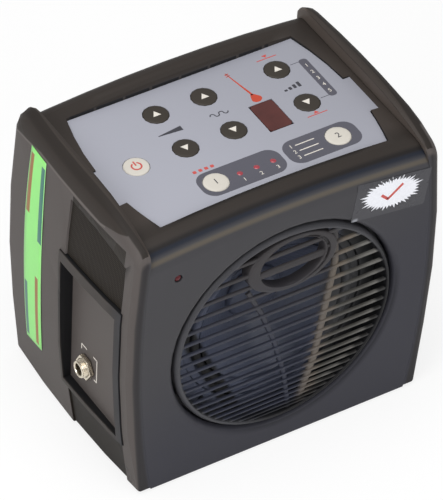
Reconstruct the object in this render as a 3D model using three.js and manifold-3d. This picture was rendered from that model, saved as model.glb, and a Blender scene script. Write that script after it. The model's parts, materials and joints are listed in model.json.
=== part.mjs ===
// Electronic tanpura: a bowed plastic case on four rubber feet, with a round speaker behind a
// flat round grille, a sunk keypad in the top, and connector trays in its two end caps.
// Millimetres, +Z up, front towards -Y, origin at the bottom centre of the feet.
import * as THREE from 'three';
import { mergeVertices } from 'three/addons/utils/BufferGeometryUtils.js';
import Module from 'manifold-3d';

const wasm = await Module();
wasm.setup();

// Shared fits
const gap = 0.3;
const overrun = 1;
const mergeDistance = 0.0001;
const shortEdge = 0.03;
const needleHeight = 0.01;
const needlePasses = 3;
const reach = 100;

// Sides of round forms, by how large they are
const sides = { opening: 44, driver: 24, coil: 16, key: 14, boss: 10, small: 8 };

// Case: a central wrap between two end caps, all bowed outwards
const body = {
  depth: 118,
  base: 1,
  cornerHalfWidth: 78.5,
  sideBow: 7.6,
  bowHeight: 90,
  planBow: 3,
  wall: 2.6,
  seamInset: 6.5,
};
const halfDepth = body.depth / 2;

// Speaker opening, which sets how high the case is
const opening = { radius: 62, rollIn: 3.7, lipWall: 3.5, lipDepth: 6.4, aboveFloor: 9.3, belowCrown: 17.3 };
const axisHeight = opening.radius + opening.rollIn + opening.aboveFloor;

// Central wrap seen from the side, and how far its top falls at the ends
const wrap = {
  crownFall: 4.2,
  frontRoll: 12,
  backRoll: 8,
  stations: 8,
  rollSteps: 5,
  rearDrop: 12,
  rearReach: 9,
};
const crownHeight = axisHeight + opening.radius + opening.rollIn + opening.belowCrown;
const rearTop = crownHeight - wrap.rearDrop;

// End cap seen from the side, with its raised rim along the top
const cap = {
  rimProud: 5,
  flatToFront: 51,
  rimArc: 140,
  frontCorner: 9,
  backCorner: 13,
  bottomCorner: 1.5,
  topDrop: 11.5,
  frontTopDrop: 4.5,
  dropFadeLength: 40,
  topLean: 5.5,
  frontRound: 4,
  backRound: 5,
  bottomRound: 1.2,
  roundFadeHeight: 40,
  innerRound: 3,
  leastRound: 0.4,
  wall: 3.6,
  root: 60,
  topWall: 15,
  roundSteps: 3,
  fillSteps: 3,
  arcSteps: 4,
};
const rimHeight = crownHeight + cap.rimProud;
const rimFlatFrom = -halfDepth + cap.flatToFront;

// Textured vent band in each end cap, and the connector tray that stands in it
const vent = { fromFront: 10, width: 48, topInset: 14, sunk: 1, seat: 2.2, thickness: 0.9 };
const ventFront = -halfDepth + vent.fromFront;
const ventBack = ventFront + vent.width;
const tray = {
  fromFront: 9,
  width: 53.5,
  bottom: 28,
  height: 87,
  proud: 0.8,
  rear: 80,
  floor: 2,
  backRim: 1.8,
  frontRim: 4.5,
  bottomRim: 3,
  topRim: 6,
};
const trayFront = -halfDepth + tray.fromFront;
const trayBack = trayFront + tray.width;
const trayTop = tray.bottom + tray.height;

// Grille and driver, round the opening's axis
const grille = {
  ringGap: 1.4,
  ringWidth: 2.6,
  ringFace: 1.2,
  ringSlope: 2,
  ringDepth: 11,
  faceSunk: 0.3,
  slatSunk: 0.6,
  slatDepth: 1.4,
  leastSlat: 0.8,
  slatHeightShare: 0.24,
  slatFaceShare: 0.5,
  leastPitch: 2.2,
  pitchGrowth: 0.324,
  lowestInset: 2.3,
  highestInset: 5,
  flangeThickness: 2,
  ribWidth: 3,
  ribTop: 30,
  ribs: [{ top: -21, bottom: 9.4 }, { top: 27.5, bottom: 11.5 }],
  ovalSide: 2.6,
  ovalHeight: 40.5,
  ovalHalfWidth: 25,
  ovalHalfHeight: 16.5,
  ovalRim: 7.4,
  ovalRimTop: 3.6,
  ovalProud: 0.5,
  ovalBack: 5.5,
  bars: [{ z: 38, height: 4.4 }, { z: 47.7, height: 2.6 }],
};
const ringOuter = opening.radius - grille.ringGap;
const ringInner = ringOuter - grille.ringWidth;
const slatFront = -halfDepth + grille.faceSunk + grille.slatSunk;
const baffle = { holeRadius: 50, thickness: 2 };
const driver = {
  frameRadius: 52,
  frameInner: 46,
  frameThickness: 1.2,
  basketDepth: 29.5,
  basketFoot: 30,
  basketWall: 1.2,
  footThickness: 2,
  footHole: 15,
  windows: 4,
  windowWidth: 30,
  windowDepth: 17,
  windowSet: 5,
  earRadius: 6,
  earCentre: 54.5,
  ears: 4,
  surroundLip: 3.5,
  surroundThickness: 0.8,
  rollWidth: 6,
  coneDepth: 18,
  coneNeck: 14,
  coneThickness: 1,
  capRise: 5.5,
  capOverlap: 1,
  capThickness: 0.8,
  coilThickness: 0.7,
  coilClear: 0.5,
  coilLength: 21,
  spiderHeight: 4,
  spiderThickness: 0.6,
  spiderWave: 0.7,
  spiderWaves: 2,
  magnetRadius: 33,
  magnetDepth: 16,
  slotDepth: 10,
  slotClear: 0.5,
  screwHead: 3,
  screwHeadHeight: 1.6,
  screwShank: 1.4,
  screwLength: 4.5,
};

// Keypad: a pale overlay sunk in the top, on a plate and a board
const pad = {
  sunk: 4.1,
  overlayThickness: 0.8,
  plateThickness: 2,
  plateInset: 0.2,
  ledgeThickness: 2,
  ledgeWidth: 2.5,
  trayWall: 2.2,
  fromBack: 15.9,
  fromFront: 15.4,
  endHalf: 62.6,
  bulge: 6.1,
  notchHalf: 72.3,
  notchBack: 5.2,
  notchFront: -20.8,
  sideSteps: 3,
  boardHalfLength: 57,
  boardHalfWidth: 38,
  boardThickness: 1.6,
  postRadius: 2.5,
  postLength: 2,
  postInset: 5,
};
const padLevel = crownHeight - pad.sunk;
const padBack = halfDepth - pad.fromBack;
const padFront = -halfDepth + pad.fromFront;
const key = {
  radius: 6.4,
  rise: 0.6,
  domeRise: 0.35,
  flangeWidth: 0.9,
  flangeThickness: 0.7,
  stemRadius: 2.5,
  travelClear: 0.6,
  switchRadius: 3,
  switchHeight: 1,
};
const rowSpaces = { fromBack: 16.5, fromFront: 15.1, downRaised: 0.05, displayRaised: 0.5 };
const rows = { up: padBack - rowSpaces.fromBack, low: padFront + rowSpaces.fromFront };
rows.down = (rows.up + rows.low) / 2 + rowSpaces.downRaised;
rows.display = rows.down + rowSpaces.displayRaised;
const columns = { power: -50.4, volume: -23.3, tone: 3.4, pitch: 44.5 };
const keyPlaces = {
  power_key: [columns.power, rows.down],
  volume_up_key: [columns.volume, rows.up],
  volume_down_key: [columns.volume, rows.down],
  tone_up_key: [columns.tone, rows.up],
  tone_down_key: [columns.tone, rows.down],
  pitch_up_key: [columns.pitch, rows.up],
  pitch_down_key: [columns.pitch, rows.down],
  string_key: [columns.volume, rows.low],
  mode_key: [columns.pitch, rows.low],
};
const display = { x: 24.5, width: 12.6, length: 20, proud: 0.1, glass: 2.2, module: 1.8 };
const lamp = { radius: 2, proud: 0.4, firstX: -10.2, pitch: 9.2, count: 3, length: 5 };
const powerLamp = { x: -61.5, belowCrown: 23.7, sunk: 0.1 };
const powerLampHeight = crownHeight - powerLamp.belowCrown;

// Inside and underneath
const foot = { radius: 6, pocket: 0.8, inset: 14 };
const caseScrew = {
  x: 60,
  inset: 7,
  shank: 1.5,
  length: 15,
  head: 3.2,
  headHeight: 1.1,
  seatLeft: 1,
  bossWall: 3.2,
  bossHeight: 20,
};
const board = {
  halfLength: 58,
  bottom: 26,
  top: 100,
  thickness: 1.6,
  postLength: 4.5,
  postRadius: 3,
  postInset: 6,
};
const parts = { canRadius: 5, canHeight: 14, chipLength: 16, chipWidth: 9, chipHeight: 2.5 };
const sink = {
  fromEnd: 18,
  z: 66,
  width: 26,
  height: 24,
  plate: 2.5,
  finDepth: 13,
  finThickness: 1.6,
  fins: 5,
};
const transformer = { x: 30, y: 26, width: 42, depth: 22, height: 34, leg: 7, windingDepth: 34 };
const jack = {
  fromTrayFront: 36.5,
  aboveTray: 21.5,
  bore: 3.2,
  bushing: 4.6,
  proud: 5.4,
  nutFlats: 12.7,
  nutThickness: 2.5,
  bodyWidth: 12,
  bodyHeight: 13,
  bodyLength: 21,
  boreDepth: 19,
};
const jackY = trayFront + jack.fromTrayFront;
const jackZ = tray.bottom + jack.aboveTray;
const inlet = {
  fromTrayFront: 30,
  aboveTray: 24,
  flangeWidth: 29,
  flangeHeight: 18,
  flangeThickness: 1.8,
  shroudWidth: 23,
  shroudHeight: 13,
  cavityWidth: 20,
  cavityHeight: 9.6,
  cavityDepth: 12,
  bodyLength: 14,
  pinRadius: 1.2,
  pinOffset: 4.3,
  pinLength: 9,
};
const inletY = trayFront + inlet.fromTrayFront;
const inletZ = tray.bottom + inlet.aboveTray;

// Turning a geometry into a solid and back
function signedVolume(positions, index) {
  const corner = [new THREE.Vector3(), new THREE.Vector3(), new THREE.Vector3()];
  let sum = 0;
  for (let i = 0; i < index.length; i += 3) {
    corner.forEach((point, k) => point.fromArray(positions, index[i + k] * 3));
    sum += corner[0].dot(corner[1].cross(corner[2]));
  }
  return sum;
}

function facingOut(positions, index) {
  if (signedVolume(positions, index) > 0) return index;
  const turned = index.slice();
  for (let i = 0; i < turned.length; i += 3) [turned[i], turned[i + 1]] = [turned[i + 1], turned[i]];
  return turned;
}

function solidOf(geometry) {
  const bare = geometry.clone();
  bare.deleteAttribute('normal');
  bare.deleteAttribute('uv');
  const merged = mergeVertices(bare, mergeDistance);
  const vertProperties = Float32Array.from(merged.attributes.position.array);
  const kept = [];
  const index = merged.index.array;
  for (let i = 0; i < index.length; i += 3) {
    const [a, b, c] = [index[i], index[i + 1], index[i + 2]];
    if (a !== b && b !== c && c !== a) kept.push(a, b, c);
  }
  const triVerts = facingOut(vertProperties, Uint32Array.from(kept));
  return new wasm.Manifold(new wasm.Mesh({ numProp: 3, vertProperties, triVerts }));
}

// Edges too short to matter, which the cuts leave where faces nearly meet, are drawn to one point
function withoutShortEdges(point, triangles) {
  const target = new Map();
  const held = (i) => (target.has(i) ? held(target.get(i)) : i);
  for (const triangle of triangles) {
    for (let k = 0; k < 3; k += 1) {
      const [a, b] = [held(triangle[k]), held(triangle[(k + 1) % 3])];
      if (a !== b && point(a).distanceTo(point(b)) < shortEdge) target.set(Math.max(a, b), Math.min(a, b));
    }
  }
  const moved = triangles.map((triangle) => triangle.map(held));
  return moved.filter(([a, b, c]) => a !== b && b !== c && c !== a);
}

// A triangle whose tip lies on its longest edge shares that edge's other triangle out instead
function withoutNeedles(point, triangles) {
  const owner = new Map();
  const own = (t) => triangles[t].forEach((a, k) => owner.set(`${a} ${triangles[t][(k + 1) % 3]}`, t));
  triangles.forEach((triangle, t) => own(t));
  triangles.forEach((triangle, t) => {
    const turns = [0, 1, 2].map((k) => [0, 1, 2].map((i) => triangles[t][(i + k) % 3]));
    const [a, b, tip] = turns.sort((one, other) => (
      point(other[0]).distanceTo(point(other[1])) - point(one[0]).distanceTo(point(one[1]))
    ))[0];
    const along = point(b).sub(point(a));
    const height = point(tip).sub(point(a)).cross(along).length() / along.length();
    const beside = owner.get(`${b} ${a}`);
    const far = triangles[beside].find((i) => i !== a && i !== b);
    if (height > needleHeight || owner.has(`${tip} ${far}`) || owner.has(`${far} ${tip}`)) return;
    owner.delete(`${a} ${b}`);
    owner.delete(`${b} ${a}`);
    triangles[t] = [a, far, tip];
    triangles[beside] = [far, b, tip];
    own(t);
    own(beside);
  });
  return triangles;
}

function geometryOf(solid) {
  const mesh = solid.getMesh();
  const index = Array.from(mesh.triVerts);
  const point = (i) => new THREE.Vector3().fromArray(mesh.vertProperties, i * 3);
  const whole = Array.from({ length: index.length / 3 }, (unused, t) => index.slice(t * 3, t * 3 + 3));
  let kept = withoutShortEdges(point, whole);
  for (let pass = 0; pass < needlePasses; pass += 1) kept = withoutNeedles(point, kept);
  const geometry = new THREE.BufferGeometry();
  geometry.setAttribute('position', new THREE.BufferAttribute(mesh.vertProperties, 3));
  geometry.setIndex(kept.flat());
  geometry.deleteAttribute('normal');
  const merged = mergeVertices(geometry, mergeDistance);
  merged.computeVertexNormals();
  return merged;
}

function mirroredX(geometry) {
  const copy = geometry.clone();
  copy.scale(-1, 1, 1);
  const index = copy.index.array;
  for (let i = 0; i < index.length; i += 3) [index[i], index[i + 1]] = [index[i + 1], index[i]];
  copy.computeVertexNormals();
  return copy;
}

// Basic shapes
function block(x0, x1, y0, y1, z0, z1) {
  const geometry = new THREE.BoxGeometry(x1 - x0, y1 - y0, z1 - z0);
  geometry.translate((x0 + x1) / 2, (y0 + y1) / 2, (z0 + z1) / 2);
  return solidOf(geometry);
}

function rodZ(radius, x, y, z0, z1, sides) {
  const geometry = new THREE.CylinderGeometry(radius, radius, z1 - z0, sides);
  geometry.rotateX(Math.PI / 2);
  geometry.translate(x, y, (z0 + z1) / 2);
  return solidOf(geometry);
}

function rodY(radius, x, z, y0, y1, sides) {
  const geometry = new THREE.CylinderGeometry(radius, radius, y1 - y0, sides);
  geometry.translate(x, (y0 + y1) / 2, z);
  return solidOf(geometry);
}

function rodX(radius, y, z, x0, x1, sides) {
  const geometry = new THREE.CylinderGeometry(radius, radius, x1 - x0, sides);
  geometry.rotateZ(Math.PI / 2);
  geometry.translate((x0 + x1) / 2, y, z);
  return solidOf(geometry);
}

// A profile of (radius, y) turned round the speaker's axis
function turnedOnAxis(profile, sides) {
  const points = profile.map(([radius, y]) => new THREE.Vector2(radius, y));
  const geometry = new THREE.LatheGeometry(points, sides);
  geometry.translate(0, 0, axisHeight);
  return solidOf(geometry);
}

// A profile of (radius, z) turned round an upright axis
function turnedUpright(profile, x, y, sides) {
  const points = profile.map(([radius, z]) => new THREE.Vector2(radius, z));
  const geometry = new THREE.LatheGeometry(points, sides);
  geometry.rotateX(Math.PI / 2);
  geometry.translate(x, y, 0);
  return solidOf(geometry);
}

function slab(outline, z0, z1) {
  const shape = new THREE.Shape(outline.map(([x, y]) => new THREE.Vector2(x, y)));
  const geometry = new THREE.ExtrudeGeometry(shape, { depth: z1 - z0, bevelEnabled: false });
  geometry.translate(0, 0, z0);
  return solidOf(geometry);
}

// An outline of (y, z) pushed along X
function prismX(outline, x0, x1) {
  const shape = new THREE.Shape(outline.map(([y, z]) => new THREE.Vector2(y, z)));
  const geometry = new THREE.ExtrudeGeometry(shape, { depth: x1 - x0, bevelEnabled: false });
  geometry.rotateX(Math.PI / 2);
  geometry.rotateZ(Math.PI / 2);
  geometry.translate(x0, 0, 0);
  return solidOf(geometry);
}

// A closed skin over rings of points, with a fan at each end
function loft(rings) {
  const count = rings[0].length;
  const positions = rings.flat().flatMap((point) => point.toArray());
  const index = [];
  for (let r = 0; r + 1 < rings.length; r += 1) {
    for (let i = 0; i < count; i += 1) {
      const next = (i + 1) % count;
      const [a, b] = [r * count + i, r * count + next];
      const [c, d] = [a + count, b + count];
      index.push(a, b, d, a, d, c);
    }
  }
  const ends = [[rings[0], 0, true], [rings.at(-1), (rings.length - 1) * count, false]];
  for (const [ring, start, turned] of ends) {
    const middle = new THREE.Vector3();
    ring.forEach((point) => middle.add(point));
    middle.divideScalar(count);
    const hub = positions.length / 3;
    positions.push(...middle.toArray());
    for (let i = 0; i < count; i += 1) {
      const pair = [start + i, start + ((i + 1) % count)];
      index.push(...(turned ? [pair[1], pair[0], hub] : [pair[0], pair[1], hub]));
    }
  }
  const geometry = new THREE.BufferGeometry();
  geometry.setAttribute('position', new THREE.Float32BufferAttribute(positions, 3));
  geometry.setIndex(index);
  return solidOf(geometry);
}

function steps(count) {
  return Array.from({ length: count + 1 }, (unused, i) => i / count);
}

function mix(from, to, share) {
  return from + (to - from) * share;
}

function joined(solids) {
  return solids.reduce((all, solid) => all.add(solid));
}

function cut(solid, tools) {
  return tools.reduce((left, tool) => left.subtract(tool), solid);
}

// Bow of the sides: half the case's width at the front corners, and at any depth
function frontHalfWidth(z) {
  const radius = (body.bowHeight ** 2 + body.sideBow ** 2) / (2 * body.sideBow);
  const rise = Math.sqrt(radius ** 2 - (z - body.bowHeight) ** 2) - (radius - body.sideBow);
  return body.cornerHalfWidth + rise;
}

function halfWidth(y, z) {
  return frontHalfWidth(z) + body.planBow * (1 - (y / halfDepth) ** 2);
}

function seam(z) {
  return frontHalfWidth(z) - body.seamInset;
}

// The block between the two seams, which follow the bow of the front corners
function waist(extra) {
  const bottom = -overrun;
  const top = rimHeight + overrun * 2;
  const rings = steps(wrap.stations).map((share) => {
    const z = mix(bottom, top, share);
    const x = seam(z) + extra;
    const y = halfDepth + overrun;
    return [[-x, -y], [x, -y], [x, y], [-x, y]].map(([px, py]) => new THREE.Vector3(px, py, z));
  });
  return loft(rings);
}

// Central wrap: side outlines lofted across, with the top falling towards the ends
function wrapForm(inset, bottom) {
  const front = -halfDepth + inset;
  const back = halfDepth - inset;
  const end = body.cornerHalfWidth + body.sideBow + overrun;
  const rings = steps(wrap.stations).map((share) => {
    const x = mix(-end, end, share);
    const top = crownHeight - wrap.crownFall * (x / body.cornerHalfWidth) ** 2 - inset;
    const frontRoll = wrap.frontRoll - inset;
    const backRoll = wrap.backRoll - inset;
    const outline = [[front, bottom], [back, bottom]];
    for (const turn of steps(wrap.rollSteps)) {
      const angle = turn * Math.PI / 2;
      const [along, up] = [Math.cos(angle) - 1, Math.sin(angle) - 1];
      outline.push([back + backRoll * along, top + backRoll * up]);
    }
    for (const turn of steps(wrap.rollSteps)) {
      const angle = (1 + turn) * Math.PI / 2;
      const [along, up] = [Math.cos(angle) + 1, Math.sin(angle) - 1];
      outline.push([front + frontRoll * along, top + frontRoll * up]);
    }
    return outline.map(([y, z]) => new THREE.Vector3(x, y, z));
  });
  return loft(rings);
}

// End cap outline from the side, as points with outward normals
function crest(y) {
  if (y > rimFlatFrom) return rimHeight;
  const centre = rimHeight - cap.rimArc;
  return centre + Math.sqrt(cap.rimArc ** 2 - (y - rimFlatFrom) ** 2);
}

function capOutline(inset) {
  const front = -halfDepth + inset;
  const back = halfDepth - inset;
  const bottom = body.base + inset;
  const top = rimHeight - inset;
  const arc = cap.rimArc - inset;
  const arcCentre = rimHeight - cap.rimArc;
  const frontCorner = Math.max(cap.frontCorner - inset, cap.leastRound);
  const backCorner = Math.max(cap.backCorner - inset, cap.leastRound);
  const bottomCorner = Math.max(cap.bottomCorner - inset, cap.leastRound);
  const cornerY = front + frontCorner;
  const cornerZ = arcCentre + Math.sqrt((arc - frontCorner) ** 2 - (cornerY - rimFlatFrom) ** 2);
  const lean = Math.atan2(cornerZ - arcCentre, cornerY - rimFlatFrom);
  const quarter = Math.PI / 2;
  const points = [];
  const add = (y, z, angle) => points.push({ y, z, ny: Math.cos(angle), nz: Math.sin(angle) });
  const bend = (y, z, radius, from, to, count) => {
    for (const share of steps(count)) {
      const angle = mix(from, to, share);
      add(y + radius * Math.cos(angle), z + radius * Math.sin(angle), angle);
    }
  };
  const between = (count) => steps(count).slice(1, -1);
  bend(back - bottomCorner, bottom + bottomCorner, bottomCorner, -quarter, 0, 2);
  for (const share of between(cap.arcSteps)) {
    add(back, mix(bottom + bottomCorner, top - backCorner, share), 0);
  }
  bend(back - backCorner, top - backCorner, backCorner, 0, quarter, cap.arcSteps);
  for (const share of between(3)) add(mix(back - backCorner, rimFlatFrom, share), top, quarter);
  for (const share of steps(cap.arcSteps).slice(0, -1)) {
    const angle = mix(quarter, lean, share);
    add(rimFlatFrom + arc * Math.cos(angle), arcCentre + arc * Math.sin(angle), angle);
  }
  bend(cornerY, cornerZ, frontCorner, lean, Math.PI, cap.arcSteps);
  for (const share of between(cap.arcSteps)) {
    add(front, mix(cornerZ, bottom + bottomCorner, share), Math.PI);
  }
  bend(front + bottomCorner, bottom + bottomCorner, bottomCorner, Math.PI, 3 * quarter, 2);
  for (const share of between(cap.arcSteps)) add(mix(front, back, share), bottom, -quarter);
  return points;
}

// How far the cap's outer edge is rounded at a point of its outline, along and across the side
function edgeRounding(point, inset) {
  const fade = THREE.MathUtils.smoothstep(point.z, 0, cap.roundFadeHeight);
  const slope = THREE.MathUtils.smoothstep(rimFlatFrom - point.y, 0, cap.dropFadeLength);
  const up = point.nz > 0;
  const sideRound = mix(cap.bottomRound, point.ny < 0 ? cap.frontRound : cap.backRound, fade);
  const topDrop = up ? mix(cap.topDrop, cap.frontTopDrop, slope) : cap.bottomRound;
  const topLean = up ? mix(cap.topLean, cap.frontRound, slope) : cap.bottomRound;
  const share = point.nz ** 2;
  return {
    drop: Math.max(mix(sideRound, topDrop, share) - inset, cap.leastRound),
    lean: Math.max(mix(sideRound, topLean, share) - inset, cap.leastRound),
  };
}

// The right end cap's outer form, or the same form moved inwards by an inset
function capForm(inset, roundSteps = cap.roundSteps) {
  const outline = capOutline(inset);
  const ring = (place) => outline.map((point) => {
    const { x, depth } = place(point);
    const y = point.y - point.ny * depth;
    const z = point.z - point.nz * depth;
    return new THREE.Vector3(x(y, z), y, z);
  });
  const side = (y, z) => halfWidth(y, z) - inset;
  const innerRound = (point) => cap.innerRound * Math.max(point.nz, 0) ** 2;
  const rings = [ring((point) => ({ x: () => cap.root, depth: innerRound(point) }))];
  for (const share of steps(2)) {
    const angle = share * Math.PI / 2;
    rings.push(ring((point) => ({
      x: (y, z) => seam(z) - overrun + innerRound(point) * (1 - Math.cos(angle)),
      depth: innerRound(point) * (1 - Math.sin(angle)),
    })));
  }
  for (const share of steps(roundSteps)) {
    const angle = share * Math.PI / 2;
    rings.push(ring((point) => {
      const { drop, lean } = edgeRounding(point, inset);
      const inwards = lean * (1 - Math.sin(angle));
      return { x: (y, z) => side(y, z) - inwards, depth: drop * (1 - Math.cos(angle)) };
    }));
  }
  const rim = rings.at(-1);
  const middleZ = (body.base + rimHeight) / 2;
  for (const share of steps(cap.fillSteps).slice(1, -1)) {
    rings.push(rim.map((point) => {
      const y = mix(point.y, 0, share);
      const z = mix(point.z, middleZ, share);
      return new THREE.Vector3(side(y, z), y, z);
    }));
  }
  return loft(rings);
}

// Vent band outline from the side, from a bottom height up to a line that follows the rim
function bandOutline(bottom, clear) {
  const back = ventBack - clear;
  const front = ventFront + clear;
  const outline = [[front, bottom + clear], [back, bottom + clear]];
  for (const share of steps(cap.arcSteps)) {
    const y = mix(back, front, share);
    outline.push([y, crest(y) - vent.topInset - clear]);
  }
  return outline;
}

function rightCap() {
  const belowTop = block(0, reach, -reach, reach, -reach, rimHeight - cap.topWall);
  const hollow = capForm(cap.wall, 1).intersect(belowTop);
  const belowTray = block(cap.root, reach, ventFront, ventBack, -overrun, tray.bottom + overrun);
  const lowerBand = belowTray.subtract(capForm(vent.sunk));
  const aboveTray = prismX(bandOutline(trayTop - overrun, 0), cap.root, reach);
  const upperBand = aboveTray.subtract(capForm(vent.seat));
  const trayHole = block(
    cap.root, reach, trayFront - gap, trayBack + gap, tray.bottom - gap, trayTop + gap,
  );
  return cut(capForm(0), [waist(gap), hollow, lowerBand, upperBand, trayHole]);
}

function rightVent() {
  const band = prismX(bandOutline(trayTop + gap, gap), cap.root, reach);
  return band.intersect(capForm(vent.sunk)).subtract(capForm(vent.sunk + vent.thickness));
}

function rightTray(holes) {
  const outer = block(tray.rear, reach, trayFront, trayBack, tray.bottom, trayTop);
  const inner = block(
    tray.rear + tray.floor,
    reach,
    trayFront + tray.frontRim,
    trayBack - tray.backRim,
    tray.bottom + tray.bottomRim,
    trayTop - tray.topRim,
  );
  return cut(outer.intersect(capForm(-tray.proud)), [inner, ...holes]);
}

// Keypad window outline: bowed ends with a stepped notch, grown by a margin
function windowOutline(margin) {
  const back = padBack + margin;
  const front = padFront - margin;
  const middle = (padBack + padFront) / 2;
  const half = (padBack - padFront) / 2;
  const edge = (y) => {
    const share = Math.min(Math.abs(y - middle) / half, 1);
    return pad.endHalf + pad.bulge * (1 - share ** 2) + margin;
  };
  const right = [];
  const stretch = (from, to) => {
    for (const share of steps(pad.sideSteps)) {
      const y = mix(from, to, share);
      right.push([edge(y), y]);
    }
  };
  stretch(front, pad.notchFront - margin);
  const notch = pad.notchHalf + margin;
  right.push([notch, pad.notchFront - margin], [notch, pad.notchBack + margin]);
  stretch(pad.notchBack + margin, back);
  const left = right.map(([x, y]) => [-x, y]).reverse();
  return [...right, ...left];
}

const overlayBottom = padLevel - pad.overlayThickness;
const plateTop = overlayBottom - gap;
const plateBottom = plateTop - pad.plateThickness;
const ledgeTop = plateBottom - gap;
const ledgeBottom = ledgeTop - pad.ledgeThickness;
const boardTop = plateBottom - pad.postLength - gap;
const boardBottom = boardTop - pad.boardThickness;
const openingLip = -halfDepth + body.wall + opening.lipDepth;

function lampPlaces() {
  return Array.from({ length: lamp.count }, (unused, i) => [lamp.firstX + i * lamp.pitch, rows.low]);
}

function bossPlaces(y) {
  return [[-caseScrew.x, y], [caseScrew.x, y]];
}

function screwBoss([x, y], bottom) {
  const outer = caseScrew.shank + caseScrew.bossWall;
  return rodZ(outer, x, y, bottom, bottom + caseScrew.bossHeight, sides.boss);
}

function screwBore([x, y], bottom) {
  return rodZ(caseScrew.shank + gap, x, y, bottom - overrun, bottom + caseScrew.length, sides.small);
}

const bossBottom = body.base + body.wall + gap;
const screwY = halfDepth - caseScrew.inset;

// Rounded edge that rolls in to the speaker opening, as a cutter
function openingCutter() {
  const face = -halfDepth;
  const profile = [[0, face - overrun], [opening.radius + opening.rollIn, face - overrun]];
  for (const share of steps(cap.roundSteps)) {
    const angle = share * Math.PI / 2;
    const radius = opening.radius + opening.rollIn * (1 - Math.sin(angle));
    profile.push([radius, face + opening.rollIn * (1 - Math.cos(angle))]);
  }
  profile.push([opening.radius, openingLip + overrun], [0, openingLip + overrun]);
  return turnedOnAxis(profile, sides.opening);
}

function rearRegion(clear) {
  return block(-reach, reach, halfDepth - wrap.rearReach - clear, reach, -reach, rearTop + clear);
}

function frontShell() {
  const outer = wrapForm(0, body.base);
  const skin = outer.subtract(wrapForm(body.wall, -overrun));
  const padTray = outer.intersect(slab(windowOutline(gap + pad.trayWall), ledgeBottom, rimHeight));
  const lipRadius = opening.radius + opening.lipWall;
  const lip = rodY(lipRadius, 0, axisHeight, -halfDepth + body.wall / 2, openingLip, sides.opening);
  const bosses = bossPlaces(-screwY).map((place) => screwBoss(place, bossBottom));
  const inWaist = joined([skin, padTray, lip, ...bosses]).intersect(waist(0));
  return cut(inWaist, [
    rearRegion(gap),
    slab(windowOutline(gap), ledgeTop, rimHeight + overrun),
    slab(windowOutline(-pad.ledgeWidth), ledgeBottom - overrun, rimHeight),
    openingCutter(),
    rodY(
      lamp.radius + gap, powerLamp.x, powerLampHeight,
      -halfDepth - overrun, -halfDepth + body.wall + overrun, sides.small,
    ),
    ...bossPlaces(-screwY).map((place) => screwBore(place, bossBottom)),
  ]);
}

function boardPosts() {
  const x = board.halfLength - board.postInset;
  const heights = [board.bottom + board.postInset, board.top - board.postInset];
  const back = halfDepth - body.wall / 2;
  const front = halfDepth - body.wall - board.postLength;
  return heights.flatMap((z) => [-x, x].map((px) => (
    rodY(board.postRadius, px, z, front, back, sides.small)
  )));
}

function rearCover() {
  const skin = wrapForm(0, body.base).subtract(wrapForm(body.wall, -overrun)).intersect(rearRegion(0));
  const bosses = bossPlaces(screwY).map((place) => screwBoss(place, bossBottom));
  const whole = joined([skin, ...bosses, ...boardPosts()]).intersect(waist(0));
  return cut(whole, bossPlaces(screwY).map((place) => screwBore(place, bossBottom)));
}

function cornerPlaces(x, y) {
  return [[-x, -y], [x, -y], [x, y], [-x, y]];
}

const screwPlaces = cornerPlaces(caseScrew.x, screwY);
const footPlaces = cornerPlaces(seam(0) - foot.inset, halfDepth - foot.inset - foot.radius);

function basePlate() {
  const x = seam(body.base) - gap;
  const y = halfDepth - body.wall - gap;
  const top = body.base + body.wall;
  const seat = top - caseScrew.seatLeft;
  return cut(block(-x, x, -y, y, body.base, top), [
    ...footPlaces.map(([fx, fy]) => (
      rodZ(foot.radius + gap, fx, fy, 0, body.base + foot.pocket, sides.boss)
    )),
    ...screwPlaces.map(([sx, sy]) => rodZ(caseScrew.head + gap, sx, sy, 0, seat, sides.boss)),
    ...screwPlaces.map(([sx, sy]) => rodZ(caseScrew.shank + gap, sx, sy, 0, top + overrun, sides.small)),
  ]);
}

function footPad([x, y]) {
  return rodZ(foot.radius, x, y, 0, body.base + foot.pocket - gap, sides.boss);
}

function caseScrewPiece([x, y]) {
  const seat = body.base + body.wall - caseScrew.seatLeft - gap;
  const head = rodZ(caseScrew.head, x, y, seat - caseScrew.headHeight, seat, sides.boss);
  return head.add(rodZ(caseScrew.shank, x, y, seat - gap, seat + caseScrew.length, sides.small));
}

// Round grille: a ring, straight slats that close up towards the floor, and an oval window
// A straight bar across the grille between two places, narrower in front than behind
function straightBar(x0, z0, x1, z1, height, front, depth) {
  const along = new THREE.Vector2(x1 - x0, z1 - z0).normalize();
  const back = front + depth;
  const half = height / 2;
  const face = half * grille.slatFaceShare;
  const section = [[-face, front], [face, front], [half, back], [-half, back]];
  return loft([[x0, z0], [x1, z1]].map(([x, z]) => section.map(([side, y]) => (
    new THREE.Vector3(x - along.y * side, y, axisHeight + z + along.x * side)
  ))));
}

// Oval in the grille's top, as a prism along Y with a scaled round outline
function ovalPrism(halfWide, halfHigh, front, back) {
  const geometry = new THREE.CylinderGeometry(1, 1, back - front, sides.driver);
  geometry.scale(halfWide, 1, halfHigh);
  geometry.translate(grille.ovalSide, (front + back) / 2, axisHeight + grille.ovalHeight);
  return solidOf(geometry);
}

// Heights of the slats from the axis, each pitch a little wider than the one below it
function slatPlaces() {
  const places = [];
  let pitch = grille.leastPitch;
  for (let z = grille.lowestInset - ringInner; z < ringInner - grille.highestInset; z += pitch) {
    if (places.length > 0) pitch += grille.pitchGrowth;
    places.push({ z, height: Math.max(grille.leastSlat, pitch * grille.slatHeightShare) });
  }
  return places;
}

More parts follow.
